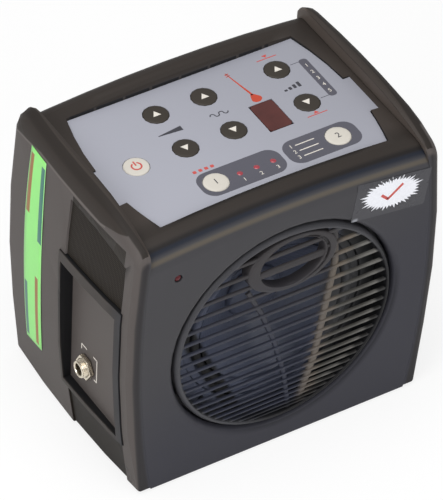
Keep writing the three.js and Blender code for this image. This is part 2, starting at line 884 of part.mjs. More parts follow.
function grilleRing(front, back) {
  const flangeOuter = opening.radius + opening.lipWall - gap;
  const flangeFront = back - grille.flangeThickness;
  return turnedOnAxis([
    [ringInner, front], [ringInner + grille.ringFace, front], [ringOuter, front + grille.ringSlope],
    [ringOuter, flangeFront], [flangeOuter, flangeFront], [flangeOuter, back], [ringInner, back],
    [ringInner, front],
  ], sides.opening);
}

function speakerGrille() {
  const front = -halfDepth + grille.faceSunk;
  const back = front + grille.ringDepth;
  const seat = ringInner + grille.ringWidth / 2;
  const slats = slatPlaces().map(({ z, height }) => {
    const half = Math.sqrt(seat ** 2 - z ** 2);
    return straightBar(-half, z, half, z, height, slatFront, grille.slatDepth);
  });
  const ribFront = slatFront + grille.slatDepth / 2;
  const ribs = grille.ribs.map(({ top, bottom }) => {
    const foot = -Math.sqrt(seat ** 2 - bottom ** 2);
    return straightBar(top, grille.ribTop, bottom, foot, grille.ribWidth, ribFront, grille.slatDepth);
  });
  const ovalInner = [grille.ovalHalfWidth - grille.ovalRim, grille.ovalHalfHeight - grille.ovalRimTop];
  const hole = ovalPrism(...ovalInner, front - overrun, back + overrun);
  const ovalFront = slatFront - grille.ovalProud;
  const ovalBack = slatFront + grille.ovalBack;
  const oval = ovalPrism(grille.ovalHalfWidth, grille.ovalHalfHeight, ovalFront, ovalBack);
  const bars = grille.bars.map(({ z, height }) => {
    const middle = grille.ovalHalfWidth - grille.ovalRim / 2;
    const reachShare = Math.sqrt(1 - ((z - grille.ovalHeight) / grille.ovalHalfHeight) ** 2);
    const half = middle * reachShare;
    const [left, right] = [grille.ovalSide - half, grille.ovalSide + half];
    return straightBar(left, z, right, z, height, slatFront, grille.slatDepth);
  });
  const web = joined([...slats, ...ribs]).subtract(hole);
  const inRing = rodY(seat, 0, axisHeight, -reach, 0, sides.opening);
  return joined([grilleRing(front, back), web, oval.subtract(hole).intersect(inRing), ...bars]);
}

// Driver behind the grille
const grilleBack = -halfDepth + grille.faceSunk + grille.ringDepth;
const baffleFront = grilleBack + gap;
const frameFront = baffleFront + baffle.thickness + gap;
const frameBack = frameFront + driver.frameThickness;
const basketBack = frameFront + driver.basketDepth;
const coneEdge = driver.frameInner - driver.rollWidth;

function aroundAxis(count, radius) {
  return Array.from({ length: count }, (unused, i) => {
    const angle = (i + 0.5) * 2 * Math.PI / count;
    return [radius * Math.cos(angle), axisHeight + radius * Math.sin(angle)];
  });
}

const earPlaces = aroundAxis(driver.ears, driver.earCentre);

function screwHole([x, z]) {
  return rodY(driver.screwShank + gap, x, z, -reach, reach, sides.small);
}

function speakerBaffle() {
  const outer = opening.radius + opening.lipWall - gap;
  const back = baffleFront + baffle.thickness;
  const ring = turnedOnAxis([
    [baffle.holeRadius, baffleFront], [outer, baffleFront], [outer, back],
    [baffle.holeRadius, back], [baffle.holeRadius, baffleFront],
  ], sides.driver);
  return cut(ring, earPlaces.map(screwHole));
}

function basketInner(y) {
  const share = (y - frameBack) / (basketBack - driver.footThickness - frameBack);
  return mix(driver.frameInner, driver.basketFoot, share);
}

function speakerBasket() {
  const footFront = basketBack - driver.footThickness;
  const shell = turnedOnAxis([
    [driver.frameInner, frameFront], [driver.frameRadius, frameFront], [driver.frameRadius, frameBack],
    [driver.frameInner + driver.basketWall, frameBack], [driver.basketFoot + driver.basketWall, footFront],
    [driver.basketFoot + driver.basketWall, basketBack], [driver.footHole, basketBack],
    [driver.footHole, footFront], [driver.basketFoot, footFront], [driver.frameInner, frameBack],
    [driver.frameInner, frameFront],
  ], sides.driver);
  const windows = aroundAxis(driver.windows, driver.frameInner).map(([x, z], i) => {
    const angle = (i + 0.5) * 2 * Math.PI / driver.windows;
    const geometry = new THREE.BoxGeometry(driver.frameInner, driver.windowDepth, driver.windowWidth);
    geometry.rotateY(-angle);
    geometry.translate(x, frameBack + driver.windowSet + driver.windowDepth / 2, z);
    return solidOf(geometry);
  });
  const ears = earPlaces.map(([x, z]) => {
    const ear = rodY(driver.earRadius, x, z, frameFront, frameBack, sides.boss);
    return ear.subtract(rodY(driver.frameInner, 0, axisHeight, -reach, reach, sides.driver));
  });
  return cut(joined([cut(shell, windows), ...ears]), earPlaces.map(screwHole));
}

function speakerScrew([x, z]) {
  const seat = frameBack + gap;
  const head = rodY(driver.screwHead, x, z, seat, seat + driver.screwHeadHeight, sides.small);
  return head.add(rodY(driver.screwShank, x, z, seat - driver.screwLength, seat + gap, sides.small));
}

function speakerSurround() {
  const back = frameFront - gap;
  const front = back - driver.surroundThickness;
  const middle = driver.frameInner - driver.rollWidth / 2;
  const outerRoll = driver.rollWidth / 2 - gap;
  const innerRoll = outerRoll - driver.surroundThickness;
  const arc = (radius, from, to) => steps(4).map((share) => {
    const angle = mix(from, to, share);
    return [middle + radius * Math.cos(angle), back - radius * Math.sin(angle)];
  });
  const lipOuter = driver.frameInner + driver.surroundLip;
  const profile = [...arc(innerRoll, 0, Math.PI), ...arc(outerRoll, Math.PI, 0).slice(0, -1)];
  profile.push([middle + outerRoll, front], [lipOuter, front], [lipOuter, back], profile[0]);
  return turnedOnAxis(profile, sides.driver);
}

const coneFront = frameFront - gap - driver.surroundThickness;
const coneNeckFront = coneFront + driver.coneDepth;
const coneRim = coneEdge - gap;

function coneFace(radius) {
  return mix(coneNeckFront, coneFront, (radius - driver.coneNeck) / (coneRim - driver.coneNeck));
}

function speakerCone() {
  return turnedOnAxis([
    [driver.coneNeck, coneNeckFront], [coneRim, coneFront], [coneRim, coneFront + driver.coneThickness],
    [driver.coneNeck, coneNeckFront + driver.coneThickness], [driver.coneNeck, coneNeckFront],
  ], sides.driver);
}

function dustCap() {
  const edge = driver.coneNeck + driver.capOverlap;
  const base = coneFace(edge) - gap;
  const dome = (radius, drop) => steps(3).map((share) => {
    const r = radius * share;
    return [r, base + drop - driver.capRise * (1 - share ** 2)];
  });
  const front = dome(edge, 0);
  const back = dome(edge - driver.capThickness, driver.capThickness / 2).reverse();
  return turnedOnAxis([...front, ...back], sides.coil);
}

const coilOuter = driver.coneNeck - driver.coilClear;
const coilInner = coilOuter - driver.coilThickness;

function voiceCoil() {
  const front = coneNeckFront;
  const back = front + driver.coilLength;
  return turnedOnAxis([
    [coilInner, front], [coilOuter, front], [coilOuter, back], [coilInner, back], [coilInner, front],
  ], sides.coil);
}

function spider() {
  const level = basketBack - driver.footThickness - driver.spiderHeight;
  const outer = basketInner(level) - gap - driver.spiderWave;
  const inner = coilOuter + driver.coilClear;
  const count = driver.spiderWaves * 4;
  const line = (offset) => steps(count).map((share) => [
    mix(inner, outer, share),
    level + offset + driver.spiderWave * Math.sin(share * driver.spiderWaves * 2 * Math.PI),
  ]);
  const front = line(0);
  return turnedOnAxis([...front, ...line(driver.spiderThickness).reverse(), front[0]], sides.coil);
}

function speakerMagnet() {
  const front = basketBack + gap;
  const back = front + driver.magnetDepth;
  const slotEnd = front + driver.slotDepth;
  const slotInner = coilInner - driver.slotClear;
  const slotOuter = coilOuter + driver.slotClear;
  return turnedOnAxis([
    [0, front], [slotInner, front], [slotInner, slotEnd], [slotOuter, slotEnd],
    [slotOuter, front], [driver.magnetRadius, front], [driver.magnetRadius, back], [0, back],
  ], sides.driver);
}

// Keypad
function padHoles(margin, front, back) {
  const keys = Object.values(keyPlaces).map(([x, y]) => (
    rodZ(key.radius + margin, x, y, front, back, sides.key)
  ));
  const lamps = lampPlaces().map(([x, y]) => rodZ(lamp.radius + gap, x, y, front, back, sides.small));
  return [...keys, ...lamps, displayBlock(gap, front, back)];
}

function displayBlock(margin, bottom, top) {
  const halfX = display.width / 2 + margin;
  const halfY = display.length / 2 + margin;
  return block(display.x - halfX, display.x + halfX, rows.display - halfY, rows.display + halfY, bottom, top);
}

function keypadOverlay() {
  const sheet = slab(windowOutline(0), overlayBottom, padLevel);
  return cut(sheet, padHoles(gap, overlayBottom - overrun, padLevel + overrun));
}

function keypadPlate() {
  const plate = slab(windowOutline(-pad.plateInset), plateBottom, plateTop);
  const x = pad.boardHalfLength - pad.postInset;
  const y = pad.boardHalfWidth - pad.postInset;
  const posts = cornerPlaces(x, y).map(([px, py]) => (
    rodZ(pad.postRadius, px, py, plateBottom - pad.postLength, plateTop, sides.small)
  ));
  const holes = padHoles(key.flangeWidth + gap, plateBottom - overrun, plateTop + overrun);
  return cut(joined([plate, ...posts]), holes);
}

function keypadBoard() {
  const sheet = block(
    -pad.boardHalfLength, pad.boardHalfLength,
    -pad.boardHalfWidth, pad.boardHalfWidth,
    boardBottom, boardTop,
  );
  const switches = Object.values(keyPlaces).map(([x, y]) => (
    rodZ(key.switchRadius, x, y, boardBottom, boardTop + key.switchHeight, sides.small)
  ));
  return joined([sheet, ...switches]);
}

function keyPiece([x, y]) {
  const top = padLevel + key.rise;
  const flangeTop = plateTop - gap;
  const flangeBottom = flangeTop - key.flangeThickness;
  const stemBottom = boardTop + key.switchHeight + key.travelClear;
  return turnedUpright([
    [0, top],
    [key.radius - key.domeRise * 2, top - key.domeRise / 3],
    [key.radius, top - key.domeRise],
    [key.radius, flangeTop],
    [key.radius + key.flangeWidth, flangeTop],
    [key.radius + key.flangeWidth, flangeBottom],
    [key.stemRadius, flangeBottom],
    [key.stemRadius, stemBottom],
    [0, stemBottom],
  ], x, y, sides.key);
}

function displayGlass() {
  const top = padLevel + display.proud;
  return displayBlock(0, top - display.glass, top);
}

function displayModule() {
  const bottom = boardTop + gap;
  return displayBlock(0, bottom, bottom + display.module);
}

function lampProfile(bottom, top) {
  const half = lamp.radius / 2;
  return [[0, bottom], [lamp.radius, bottom], [lamp.radius, top - half], [half, top], [0, top]];
}

function padLamp([x, y]) {
  return turnedUpright(lampProfile(boardTop + gap, padLevel + lamp.proud), x, y, sides.small);
}

function frontLamp() {
  const front = -halfDepth + powerLamp.sunk;
  const points = lampProfile(0, lamp.length).map(([radius, along]) => new THREE.Vector2(radius, -along));
  const geometry = new THREE.LatheGeometry(points, sides.small);
  geometry.translate(powerLamp.x, front + lamp.length, powerLampHeight);
  return solidOf(geometry);
}

// Electronics
function mainBoard() {
  const back = halfDepth - body.wall - board.postLength - gap;
  const front = back - board.thickness;
  const sheet = block(-board.halfLength, board.halfLength, front, back, board.bottom, board.top);
  const x = board.halfLength - parts.canRadius * 3;
  const z = board.bottom + parts.canRadius * 3;
  const cans = [0, 1, 2].map((i) => (
    rodY(parts.canRadius, -x + i * parts.canRadius * 3, z, front - parts.canHeight, back, sides.small)
  ));
  const chips = [1, 2].map((i) => block(
    -x, -x + parts.chipLength, front - parts.chipHeight, back,
    z + i * parts.chipWidth * 2, z + parts.chipWidth + i * parts.chipWidth * 2,
  ));
  return joined([sheet, ...cans, ...chips]);
}

function heatSink() {
  const back = halfDepth - body.wall - board.postLength - board.thickness - gap * 2;
  const front = back - sink.plate;
  const x0 = board.halfLength - sink.fromEnd - sink.width / 2;
  const plate = block(x0, x0 + sink.width, front, back, sink.z, sink.z + sink.height);
  const pitch = (sink.width - sink.finThickness) / (sink.fins - 1);
  const fins = Array.from({ length: sink.fins }, (unused, i) => {
    const x = x0 + i * pitch;
    return block(x, x + sink.finThickness, front - sink.finDepth, back, sink.z, sink.z + sink.height);
  });
  return joined([plate, ...fins]);
}

const transformerBottom = body.base + body.wall + gap;

function transformerCore() {
  const halfX = transformer.width / 2;
  const halfY = transformer.depth / 2;
  const { x, y, leg } = transformer;
  const bottom = transformerBottom;
  const top = bottom + transformer.height;
  const core = block(x - halfX, x + halfX, y - halfY, y + halfY, bottom, top);
  const windows = [-1, 1].map((side) => {
    const near = x + side * leg;
    const far = x + side * (halfX - leg);
    return block(Math.min(near, far), Math.max(near, far), y - reach, y + reach, bottom + leg, top - leg);
  });
  return cut(core, windows);
}

function transformerWinding() {
  const { x, y, leg } = transformer;
  const outer = transformer.width / 2 - leg - gap;
  const inner = leg + gap;
  const halfY = transformer.windingDepth / 2;
  const coreHalf = transformer.depth / 2 + gap;
  const bottom = transformerBottom + leg + gap;
  const top = transformerBottom + transformer.height - leg - gap;
  const coil = block(x - outer, x + outer, y - halfY, y + halfY, bottom, top);
  return coil.subtract(block(
    x - inner, x + inner, y - coreHalf, y + coreHalf, bottom - overrun, top + overrun,
  ));
}

// Jack, made on the right and mirrored to the left
function jackHole() {
  return rodX(jack.bushing + gap, jackY, jackZ, cap.root, reach, sides.key);
}

const trayFace = tray.rear + tray.floor;

function jackBushing() {
  const face = trayFace + jack.proud;
  const tube = rodX(jack.bushing, jackY, jackZ, tray.rear, face, sides.key);
  return tube.subtract(rodX(jack.bore, jackY, jackZ, tray.rear - overrun, face + overrun, sides.key));
}

function jackNut() {
  const front = trayFace + gap;
  const corner = jack.nutFlats / Math.sqrt(3);
  const nut = rodX(corner, jackY, jackZ, front, front + jack.nutThickness, 6);
  return nut.subtract(jackHole());
}

function jackBody() {
  const front = tray.rear - gap;
  const [halfY, halfZ] = [jack.bodyWidth / 2, jack.bodyHeight / 2];
  const shell = block(
    front - jack.bodyLength, front, jackY - halfY, jackY + halfY, jackZ - halfZ, jackZ + halfZ,
  );
  return shell.subtract(rodX(jack.bore, jackY, jackZ, front - jack.boreDepth, front + overrun, sides.key));
}

function inletBlock(width, height, x0, x1) {
  const [halfY, halfZ] = [width / 2, height / 2];
  return block(x0, x1, inletY - halfY, inletY + halfY, inletZ - halfZ, inletZ + halfZ);
}

function inletHole() {
  return inletBlock(inlet.shroudWidth + gap * 2, inlet.shroudHeight + gap * 2, cap.root, reach);
}

function mainsInlet() {
  const front = trayFace + gap + inlet.flangeThickness;
  const back = front - inlet.bodyLength;
  const flange = inletBlock(inlet.flangeWidth, inlet.flangeHeight, trayFace + gap, front);
  const shroud = inletBlock(inlet.shroudWidth, inlet.shroudHeight, back, front);
  const floor = front - inlet.cavityDepth;
  const cavity = inletBlock(inlet.cavityWidth, inlet.cavityHeight, floor, front + overrun);
  const pins = [-1, 1].map((side) => rodX(
    inlet.pinRadius, inletY + side * inlet.pinOffset, inletZ,
    floor - overrun, floor + inlet.pinLength, sides.small,
  ));
  return joined([flange.add(shroud).subtract(cavity), ...pins]);
}

// Materials
function plastic(color, roughness) {
  return new THREE.MeshStandardMaterial({ color, roughness, metalness: 0 });
}

function metal(color, roughness) {
  return new THREE.MeshStandardMaterial({ color, roughness, metalness: 1 });
}

const look = {
  front: plastic(0x494a4e, 0.55),
  side: plastic(0x645d59, 0.6),
  vent: plastic(0x37322e, 0.8),
  grille: plastic(0x47464a, 0.5),
  overlay: plastic(0xa8abb5, 0.45),
  keyDark: plastic(0x3e3933, 0.5),
  keyPale: plastic(0xd7d4cd, 0.5),
  glass: plastic(0x54302c, 0.2),
  lamp: plastic(0xa03c46, 0.25),
  cone: plastic(0x262c3c, 0.3),
  rubber: plastic(0x1c1c1e, 0.85),
  board: plastic(0x2c5a3c, 0.6),
  black: plastic(0x202022, 0.6),
  copper: metal(0x9a5a32, 0.45),
  steel: metal(0x8c8e92, 0.4),
  nickel: metal(0xc6c1b4, 0.25),
};

const group = new THREE.Group();

function addGeometry(name, geometry, material) {
  const mesh = new THREE.Mesh(geometry, material.clone());
  mesh.name = name;
  group.add(mesh);
}

function add(name, solid, material) {
  addGeometry(name, geometryOf(solid), material);
}

function addPair(name, solid, material) {
  const geometry = geometryOf(solid);
  addGeometry(`right_${name}`, geometry, material);
  addGeometry(`left_${name}`, mirroredX(geometry), material);
}

add('front_shell', frontShell(), look.front);
add('rear_cover', rearCover(), look.front);
add('base_plate', basePlate(), look.side);
addPair('end_cap', rightCap(), look.side);
addPair('vent_screen', rightVent(), look.vent);
add('right_connector_tray', rightTray([inletHole()]), look.side);
addGeometry('left_connector_tray', mirroredX(geometryOf(rightTray([jackHole()]))), look.side);
addGeometry('jack_bushing', mirroredX(geometryOf(jackBushing())), look.nickel);
addGeometry('jack_nut', mirroredX(geometryOf(jackNut())), look.nickel);
addGeometry('jack_body', mirroredX(geometryOf(jackBody())), look.black);
add('mains_inlet', mainsInlet(), look.black);

add('speaker_grille', speakerGrille(), look.grille);
add('speaker_baffle', speakerBaffle(), look.black);
add('speaker_basket', speakerBasket(), look.steel);
add('speaker_surround', speakerSurround(), look.rubber);
add('speaker_cone', speakerCone(), look.cone);
add('dust_cap', dustCap(), look.cone);
add('voice_coil', voiceCoil(), look.copper);
add('spider', spider(), look.copper);
add('speaker_magnet', speakerMagnet(), look.steel);
earPlaces.forEach((place, i) => add(`speaker_screw_${i + 1}`, speakerScrew(place), look.steel));

add('keypad_overlay', keypadOverlay(), look.overlay);
add('keypad_plate', keypadPlate(), look.black);
add('keypad_board', keypadBoard(), look.board);
for (const [name, place] of Object.entries(keyPlaces)) {
  const pale = ['power_key', 'string_key', 'mode_key'].includes(name);
  add(name, keyPiece(place), pale ? look.keyPale : look.keyDark);
}
add('display_window', displayGlass(), look.glass);
add('display_module', displayModule(), look.black);
lampPlaces().forEach((place, i) => add(`string_lamp_${i + 1}`, padLamp(place), look.lamp));
add('power_lamp', frontLamp(), look.lamp);

add('main_board', mainBoard(), look.board);
add('heat_sink', heatSink(), look.steel);
add('transformer_core', transformerCore(), look.steel);
add('transformer_winding', transformerWinding(), look.copper);
footPlaces.forEach((place, i) => add(`foot_${i + 1}`, footPad(place), look.rubber));
screwPlaces.forEach((place, i) => add(`case_screw_${i + 1}`, caseScrewPiece(place), look.steel));

export default group;
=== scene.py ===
"""Electronic tanpura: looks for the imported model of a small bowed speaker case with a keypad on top.

Sizes are in millimetres in the tables below and become metres when a piece is finished.
"""

import json
import math

import bmesh
import bpy
from mathutils import Matrix, Vector


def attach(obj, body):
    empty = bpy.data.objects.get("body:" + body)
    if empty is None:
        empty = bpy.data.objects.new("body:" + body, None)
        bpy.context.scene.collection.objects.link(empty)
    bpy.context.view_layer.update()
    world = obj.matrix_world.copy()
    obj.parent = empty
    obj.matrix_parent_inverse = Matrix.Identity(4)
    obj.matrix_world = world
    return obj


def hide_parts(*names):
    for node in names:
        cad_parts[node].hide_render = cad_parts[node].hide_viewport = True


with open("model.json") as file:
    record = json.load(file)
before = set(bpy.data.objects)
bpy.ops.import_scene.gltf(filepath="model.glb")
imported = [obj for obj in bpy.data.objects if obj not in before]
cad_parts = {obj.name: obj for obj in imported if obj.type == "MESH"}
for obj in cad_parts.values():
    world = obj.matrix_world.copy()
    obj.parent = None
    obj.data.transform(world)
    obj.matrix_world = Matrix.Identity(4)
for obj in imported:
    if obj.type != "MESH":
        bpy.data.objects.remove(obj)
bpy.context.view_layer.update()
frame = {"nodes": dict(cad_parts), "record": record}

MM = 0.001

# Case
HALF_DEPTH = 59.0
CORNER_HALF_WIDTH = 78.5
SIDE_BOW = 7.6
BOW_HEIGHT = 90.0
BOW_RADIUS = (BOW_HEIGHT ** 2 + SIDE_BOW ** 2) / (2 * SIDE_BOW)
PLAN_BOW = 3.0
SEAM_INSET = 6.5
SEAM_CLOSED = 0.24
FRONT_ROLL = 12.0
CROWN_HEIGHT = 158.0
CROWN_FALL = 4.2
ROLL_START = CROWN_HEIGHT - FRONT_ROLL
WINDOW_HALF = (72.0, 43.2)
WINDOW_FLOOR = 150.0
RIM_EDGE, CREST_HEIGHT = 153.7, 163.0
TRAY_Y = -25.0
CASE_SMOOTH = 28
TRAY_EDGE, NUT_EDGE = 0.8, 0.35
MERGE_REACH, SEAM_REACH, FLAT_ANGLE = 0.02, 0.06, math.radians(0.4)

# Speaker grille, measured from its axis, and the levels of its front and back
AXIS_HEIGHT = 75.0
RING_INNER = 58.0
RING_OUTER = 60.6
RING_FRONT = -58.7
RING_BACK = -47.7
FLANGE_RADIUS = 65.2
SLAT_SEAT = 59.3
SLAT_FRONT = -58.1
SLAT_DEPTH = 1.4
SLAT_COUNT = 21
LOWEST_SLAT = -55.7
LEAST_PITCH = 2.2
PITCH_GROWTH = 0.324
LEAST_SLAT = 0.8
SLAT_SHARE = 0.24
RIBS = [
    ([(-21.0, 30.0), (-12.2, 12.0), (-4.0, -10.0), (2.5, -34.0), (6.0, -58.5)], 2.8),
    ([(26.6, 50.0), (28.2, 28.0), (24.8, 5.0), (19.7, -30.0), (10.8, -58.0)], 4.0),
]
OVAL_X, OVAL_Z = 2.8, 40.5
OVAL_OUTER = (25.0, 16.5)
OVAL_HOLE = (18.0, 14.0)
OVAL_BARS = [(38.0, 4.4), (47.7, 2.6)]
OVAL_REACH = 2.0
SLAT_ROUND, SLAT_GAP, OVAL_BAR_OVERLAP = 0.32, 0.6, 1.6

# Speaker driver, as radii and places along its axis
CONE_FRONT = -46.2
CONE_PROFILE = [(39.7, 0.0), (30.0, 6.6), (14.0, 18.0), (14.0, 19.0), (30.0, 7.7), (39.7, 1.0), (39.7, 0.0)]
CAP_RADIUS, CAP_RISE, CAP_FRONT = 14.95, 5.4, -29.2
CAP_BACK = [(14.2, -28.9), (0.0, -33.9)]
ROLL_CENTRE, ROLL_INNER, ROLL_OUTER = 43.0, 1.9, 2.7
SURROUND_RADIUS, SURROUND_BACK = 49.5, -45.4
BAFFLE_HOLE, BAFFLE_FRONT, BAFFLE_CHAMFER = 50.0, -47.4, 0.3

# Keypad
PAD_LEVEL = 153.9
KEY_RADIUS = 6.4
KEY_OPENING = 6.62
ROW_UP, ROW_DOWN, ROW_LOW = 26.6, -0.9, -28.5
POWER_X, VOLUME_X, TONE_X, PITCH_X = -50.4, -23.3, 3.4, 44.5
KEYS = {
    "power_key": (POWER_X, ROW_DOWN),
    "volume_up_key": (VOLUME_X, ROW_UP),
    "volume_down_key": (VOLUME_X, ROW_DOWN),
    "tone_up_key": (TONE_X, ROW_UP),
    "tone_down_key": (TONE_X, ROW_DOWN),
    "pitch_up_key": (PITCH_X, ROW_UP),
    "pitch_down_key": (PITCH_X, ROW_DOWN),
    "string_key": (VOLUME_X, ROW_LOW),
    "mode_key": (PITCH_X, ROW_LOW),
}
PALE_KEYS = ("power_key", "string_key", "mode_key")
PEG_PLACES = (-47.0, -30.9, -16.1, 0.2, 16.4, 32.5, 47.0)
LAMP_PLACES = [(-10.2, ROW_LOW), (-1.0, ROW_LOW), (8.2, ROW_LOW)]
KEY_TOP = PAD_LEVEL + 0.6
KEY_DOME = [(0.0, 0.0), (3.5, 0.04), (5.4, 0.12), (5.95, 0.22), (6.25, 0.42), (KEY_RADIUS, 0.8)]
KEY_FLANGE, FLANGE_TOP, FLANGE_FOOT = 7.3, 152.5, 151.8
STEM_RADIUS, STEM_FOOT = 2.5, 150.1
MARK_LEVEL, MARK_THICKNESS = KEY_TOP + 0.04, 0.14
ARROW_HALF, ARROW_FOOT, ARROW_TIP = 2.1, 1.5, 2.05
SYMBOL_Y, SYMBOL_RADIUS, SYMBOL_WIDTH, SYMBOL_BAR = -0.2, 2.4, 0.8, (0.2, 3.4)
SYMBOL_ARC = (math.radians(118), math.radians(304))
KEY_DIGIT = 3.6
LAMP_DOME = [(0.0, 0.0), (0.7, 0.05), (1.4, 0.28), (1.85, 0.7), (2.0, 1.1)]
STRING_LAMP_TOP, STRING_LAMP_DEPTH = PAD_LEVEL + 0.4, 5.5
POWER_LAMP_X, POWER_LAMP_Z, POWER_LAMP_FRONT, POWER_LAMP_DEPTH = -61.5, 134.3, -58.9, 5.0
DISPLAY_BOX = (18.2, 30.8, -10.4, 9.6)
DISPLAY_CORNER, DISPLAY_TOP, DISPLAY_THICKNESS = 2.0, PAD_LEVEL + 0.1, 2.2

# Print on the keypad: boxes are x0, x1, y0, y1
PRINT_LEVEL, PRINT_THICKNESS = PAD_LEVEL + 0.05, 0.1
OVER_LEVEL = PRINT_LEVEL + 0.04
PANELS = [(-32.0, 13.4, VOLUME_X), (15.6, 55.4, PITCH_X)]
PANEL_EDGES = (-20.0, -37.2)
PANEL_CORNER = 6.5
SCALE_BOX = (56.6, 61.2, -2.5, 27.5)
SCALE_CORNER = 1.9
LEADERS = [(52.0, 26.4, 56.8, 26.4), (52.0, -1.2, 56.8, -1.2)]
LEADER_WIDTH = 0.35
WEDGE = [(VOLUME_X - 7, 12.2), (VOLUME_X + 6, 11.0), (VOLUME_X + 6, 14.2), (VOLUME_X - 7, 12.6)]
WAVES = [(TONE_X - 3.6 + i * 2.4, 12.6, 1.2, 0.55, i % 2 * math.pi, math.pi) for i in range(4)]
STAIRS = [(PITCH_X - 5 + i * 2.6, PITCH_X - 3.4 + i * 2.6, 10.8, 12.0 + i * 0.8) for i in range(4)]
DOTS = [(-29.5 + i * 3.2, -27.7 + i * 3.2, -18.6, -16.8) for i in range(4)]
PITCH_LINES = [(ROW_UP + 9.6, 2.6, 0.6), (ROW_DOWN - 9.3, 0.7, 2.7)]
PITCH_LINE_HALF, PITCH_ARROW_HALF = 5.5, 1.4
MENU_ROWS, MENU_X, MENU_LINE, MENU_WIDTH = (-24.4, -28.5, -32.6), 20.6, (23.0, 33.5), 0.55
SCALE_PLACES = [(58.9, 1.5 + i * 5.2) for i in range(5)]
SMALL_CORNER, THIN_LINE, DIGIT_HEIGHT, DIGIT_DROP = 0.3, 0.5, 2.4, 4.8
GOURD_PLACE, GOURD_TURN = (24.9, 13.5), math.radians(10)
GOURD_HALF, GOURD_TOP, GOURD_FOOT, GOURD_TAPER = 2.8, 3.9, 2.6, 0.45
NECK = [(24.0, 16.4), (25.1, 16.6), (21.3, 36.2), (20.9, 36.1)]
NECK_PEG_X, NECK_PEG_YS = (20.2, 22.4), (33.6, 34.9)

# Black strip of painted shade in the slot, and pegs, on the window's back wall
SLOT_BOX = (-61.0, 50.0, PAD_LEVEL + 0.05, PAD_LEVEL + 1.7)
SLOT_Y, SLOT_CORNER, SLOT_THICKNESS = 43.36, 0.2, 0.08
PEG_HALF, PEG_HEIGHT, PEG_Y, PEG_CORNER, PEG_THICKNESS = 0.7, 1.9, 43.3, 0.15, 0.4

# Sticker on the front
STAR_SPIKES = 40
STAR_HALF = (18.6, 10.0)
STAR_PLACE = (56.2, 136.6)
STAR_VALLEY, STAR_UNEVEN = 0.74, 0.07
STAR_RINGS = (0.7, 0.6, 0.45)
STAR_PROUD, STAR_THICKNESS = 0.1, 0.05
STICKER_TURN = Matrix.Rotation(math.radians(-8), 3, "Z")
FILM_PLACE, FILM_SIZE = (56.2, 135.2), (42, 22)
FILM_PROUD, FILM_THICKNESS = 0.05, 0.04
LIFTED_CORNER = (36.0, 127.3)
TICK = [(50.5, 137.4, 54.3, 133.6), (53.9, 133.4, 62.5, 140.0)]
TICK_WIDTH, TICK_PROUD, TICK_THICKNESS = 1.5, 0.15, 0.05

# Label on the left end cap: each edge has its place, the height of its middle and its curve
LABEL_FRONT, LABEL_FRONT_MIDDLE, LABEL_FRONT_CURVE = 20.3, 95.0, 3.0 / 57 ** 2
LABEL_REAR, LABEL_REAR_MIDDLE, LABEL_REAR_CURVE = 38.2, 90.0, 2.6 / 63 ** 2
LABEL_TOP, LABEL_FOOT, LABEL_FOOT_SLANT = 152.0, 29.6, 3.1
LABEL_LIFT, LABEL_THICKNESS = 0.12, 0.1

# Jack, with places along X as distances from the middle of the case
JACK_Y = -13.5
JACK_Z = 49.5
TRAY_FACE = 82.0
BUSHING_RADIUS, BUSHING_BORE, BUSHING_BACK, BUSHING_END = 4.5, 3.2, 80.0, 87.4
BUSHING_TIP = [(4.45, 87.1), (4.1, BUSHING_END), (3.5, BUSHING_END), (BUSHING_BORE, 87.0)]
THREAD_RADII, THREAD_START, THREAD_STEP, THREAD_COUNT = (4.3, 4.6), 82.5, 0.3, 15
NUT_RADIUS, NUT_HOLE, NUT_HEIGHT, NUT_BACK = 6.9, 4.9, 2.5, 82.3
JACK_MARKS = [
    ((-7.6, 56.4), (-7.6, 59.6)), ((-7.6, 59.6), (-12.6, 59.6)), ((-18.6, 59.6), (-22.0, 59.6)),
    ((-22.0, 59.6), (-22.0, 45.4)), ((-22.0, 45.4), (-19.6, 45.4)),
]
JACK_MARK_WIDTH, JACK_MARK_THICKNESS = 0.6, 0.08

# Camera, with its place given along its own right, up and back from its aim
CAMERA_ANGLES = (-33.37, 42.58, 2.86)
CAMERA_AIM, CAMERA_PLACE = (0, 0, AXIS_HEIGHT), (0.4, 1.8, 2423)
SENSOR_HEIGHT, FOCAL_PIXELS, IMAGE_HEIGHT = 24, 5000, 500

# Lights in metres and watts: name, place, aim, size and power
SOFT_BOXES = [
    ("top_box", (-0.25, -0.1, 1.3), (0, 0, 0.1), (0.9, 0.9), 9),
    ("left_box", (-1.2, -0.5, 0.75), (0, 0, 0.08), (0.8, 0.9), 9),
    ("front_box", (0.5, -1.4, 0.7), (0, 0, 0.08), (0.8, 0.7), 5),
]
AMBIENT = 0.5
FLOOR_TONE, FLOOR_GLOW, FLOOR_DROP, FLOOR_SIZE = (0.9, 0.9, 0.9), 0.8, 0.3, 4


def arithmetic(operation, swapped=False):
    """A method that does one sum with two values."""

    def method(self, other):
        values = (other, self) if swapped else (self, other)
        return self.graph.math(operation, *values)

    return method


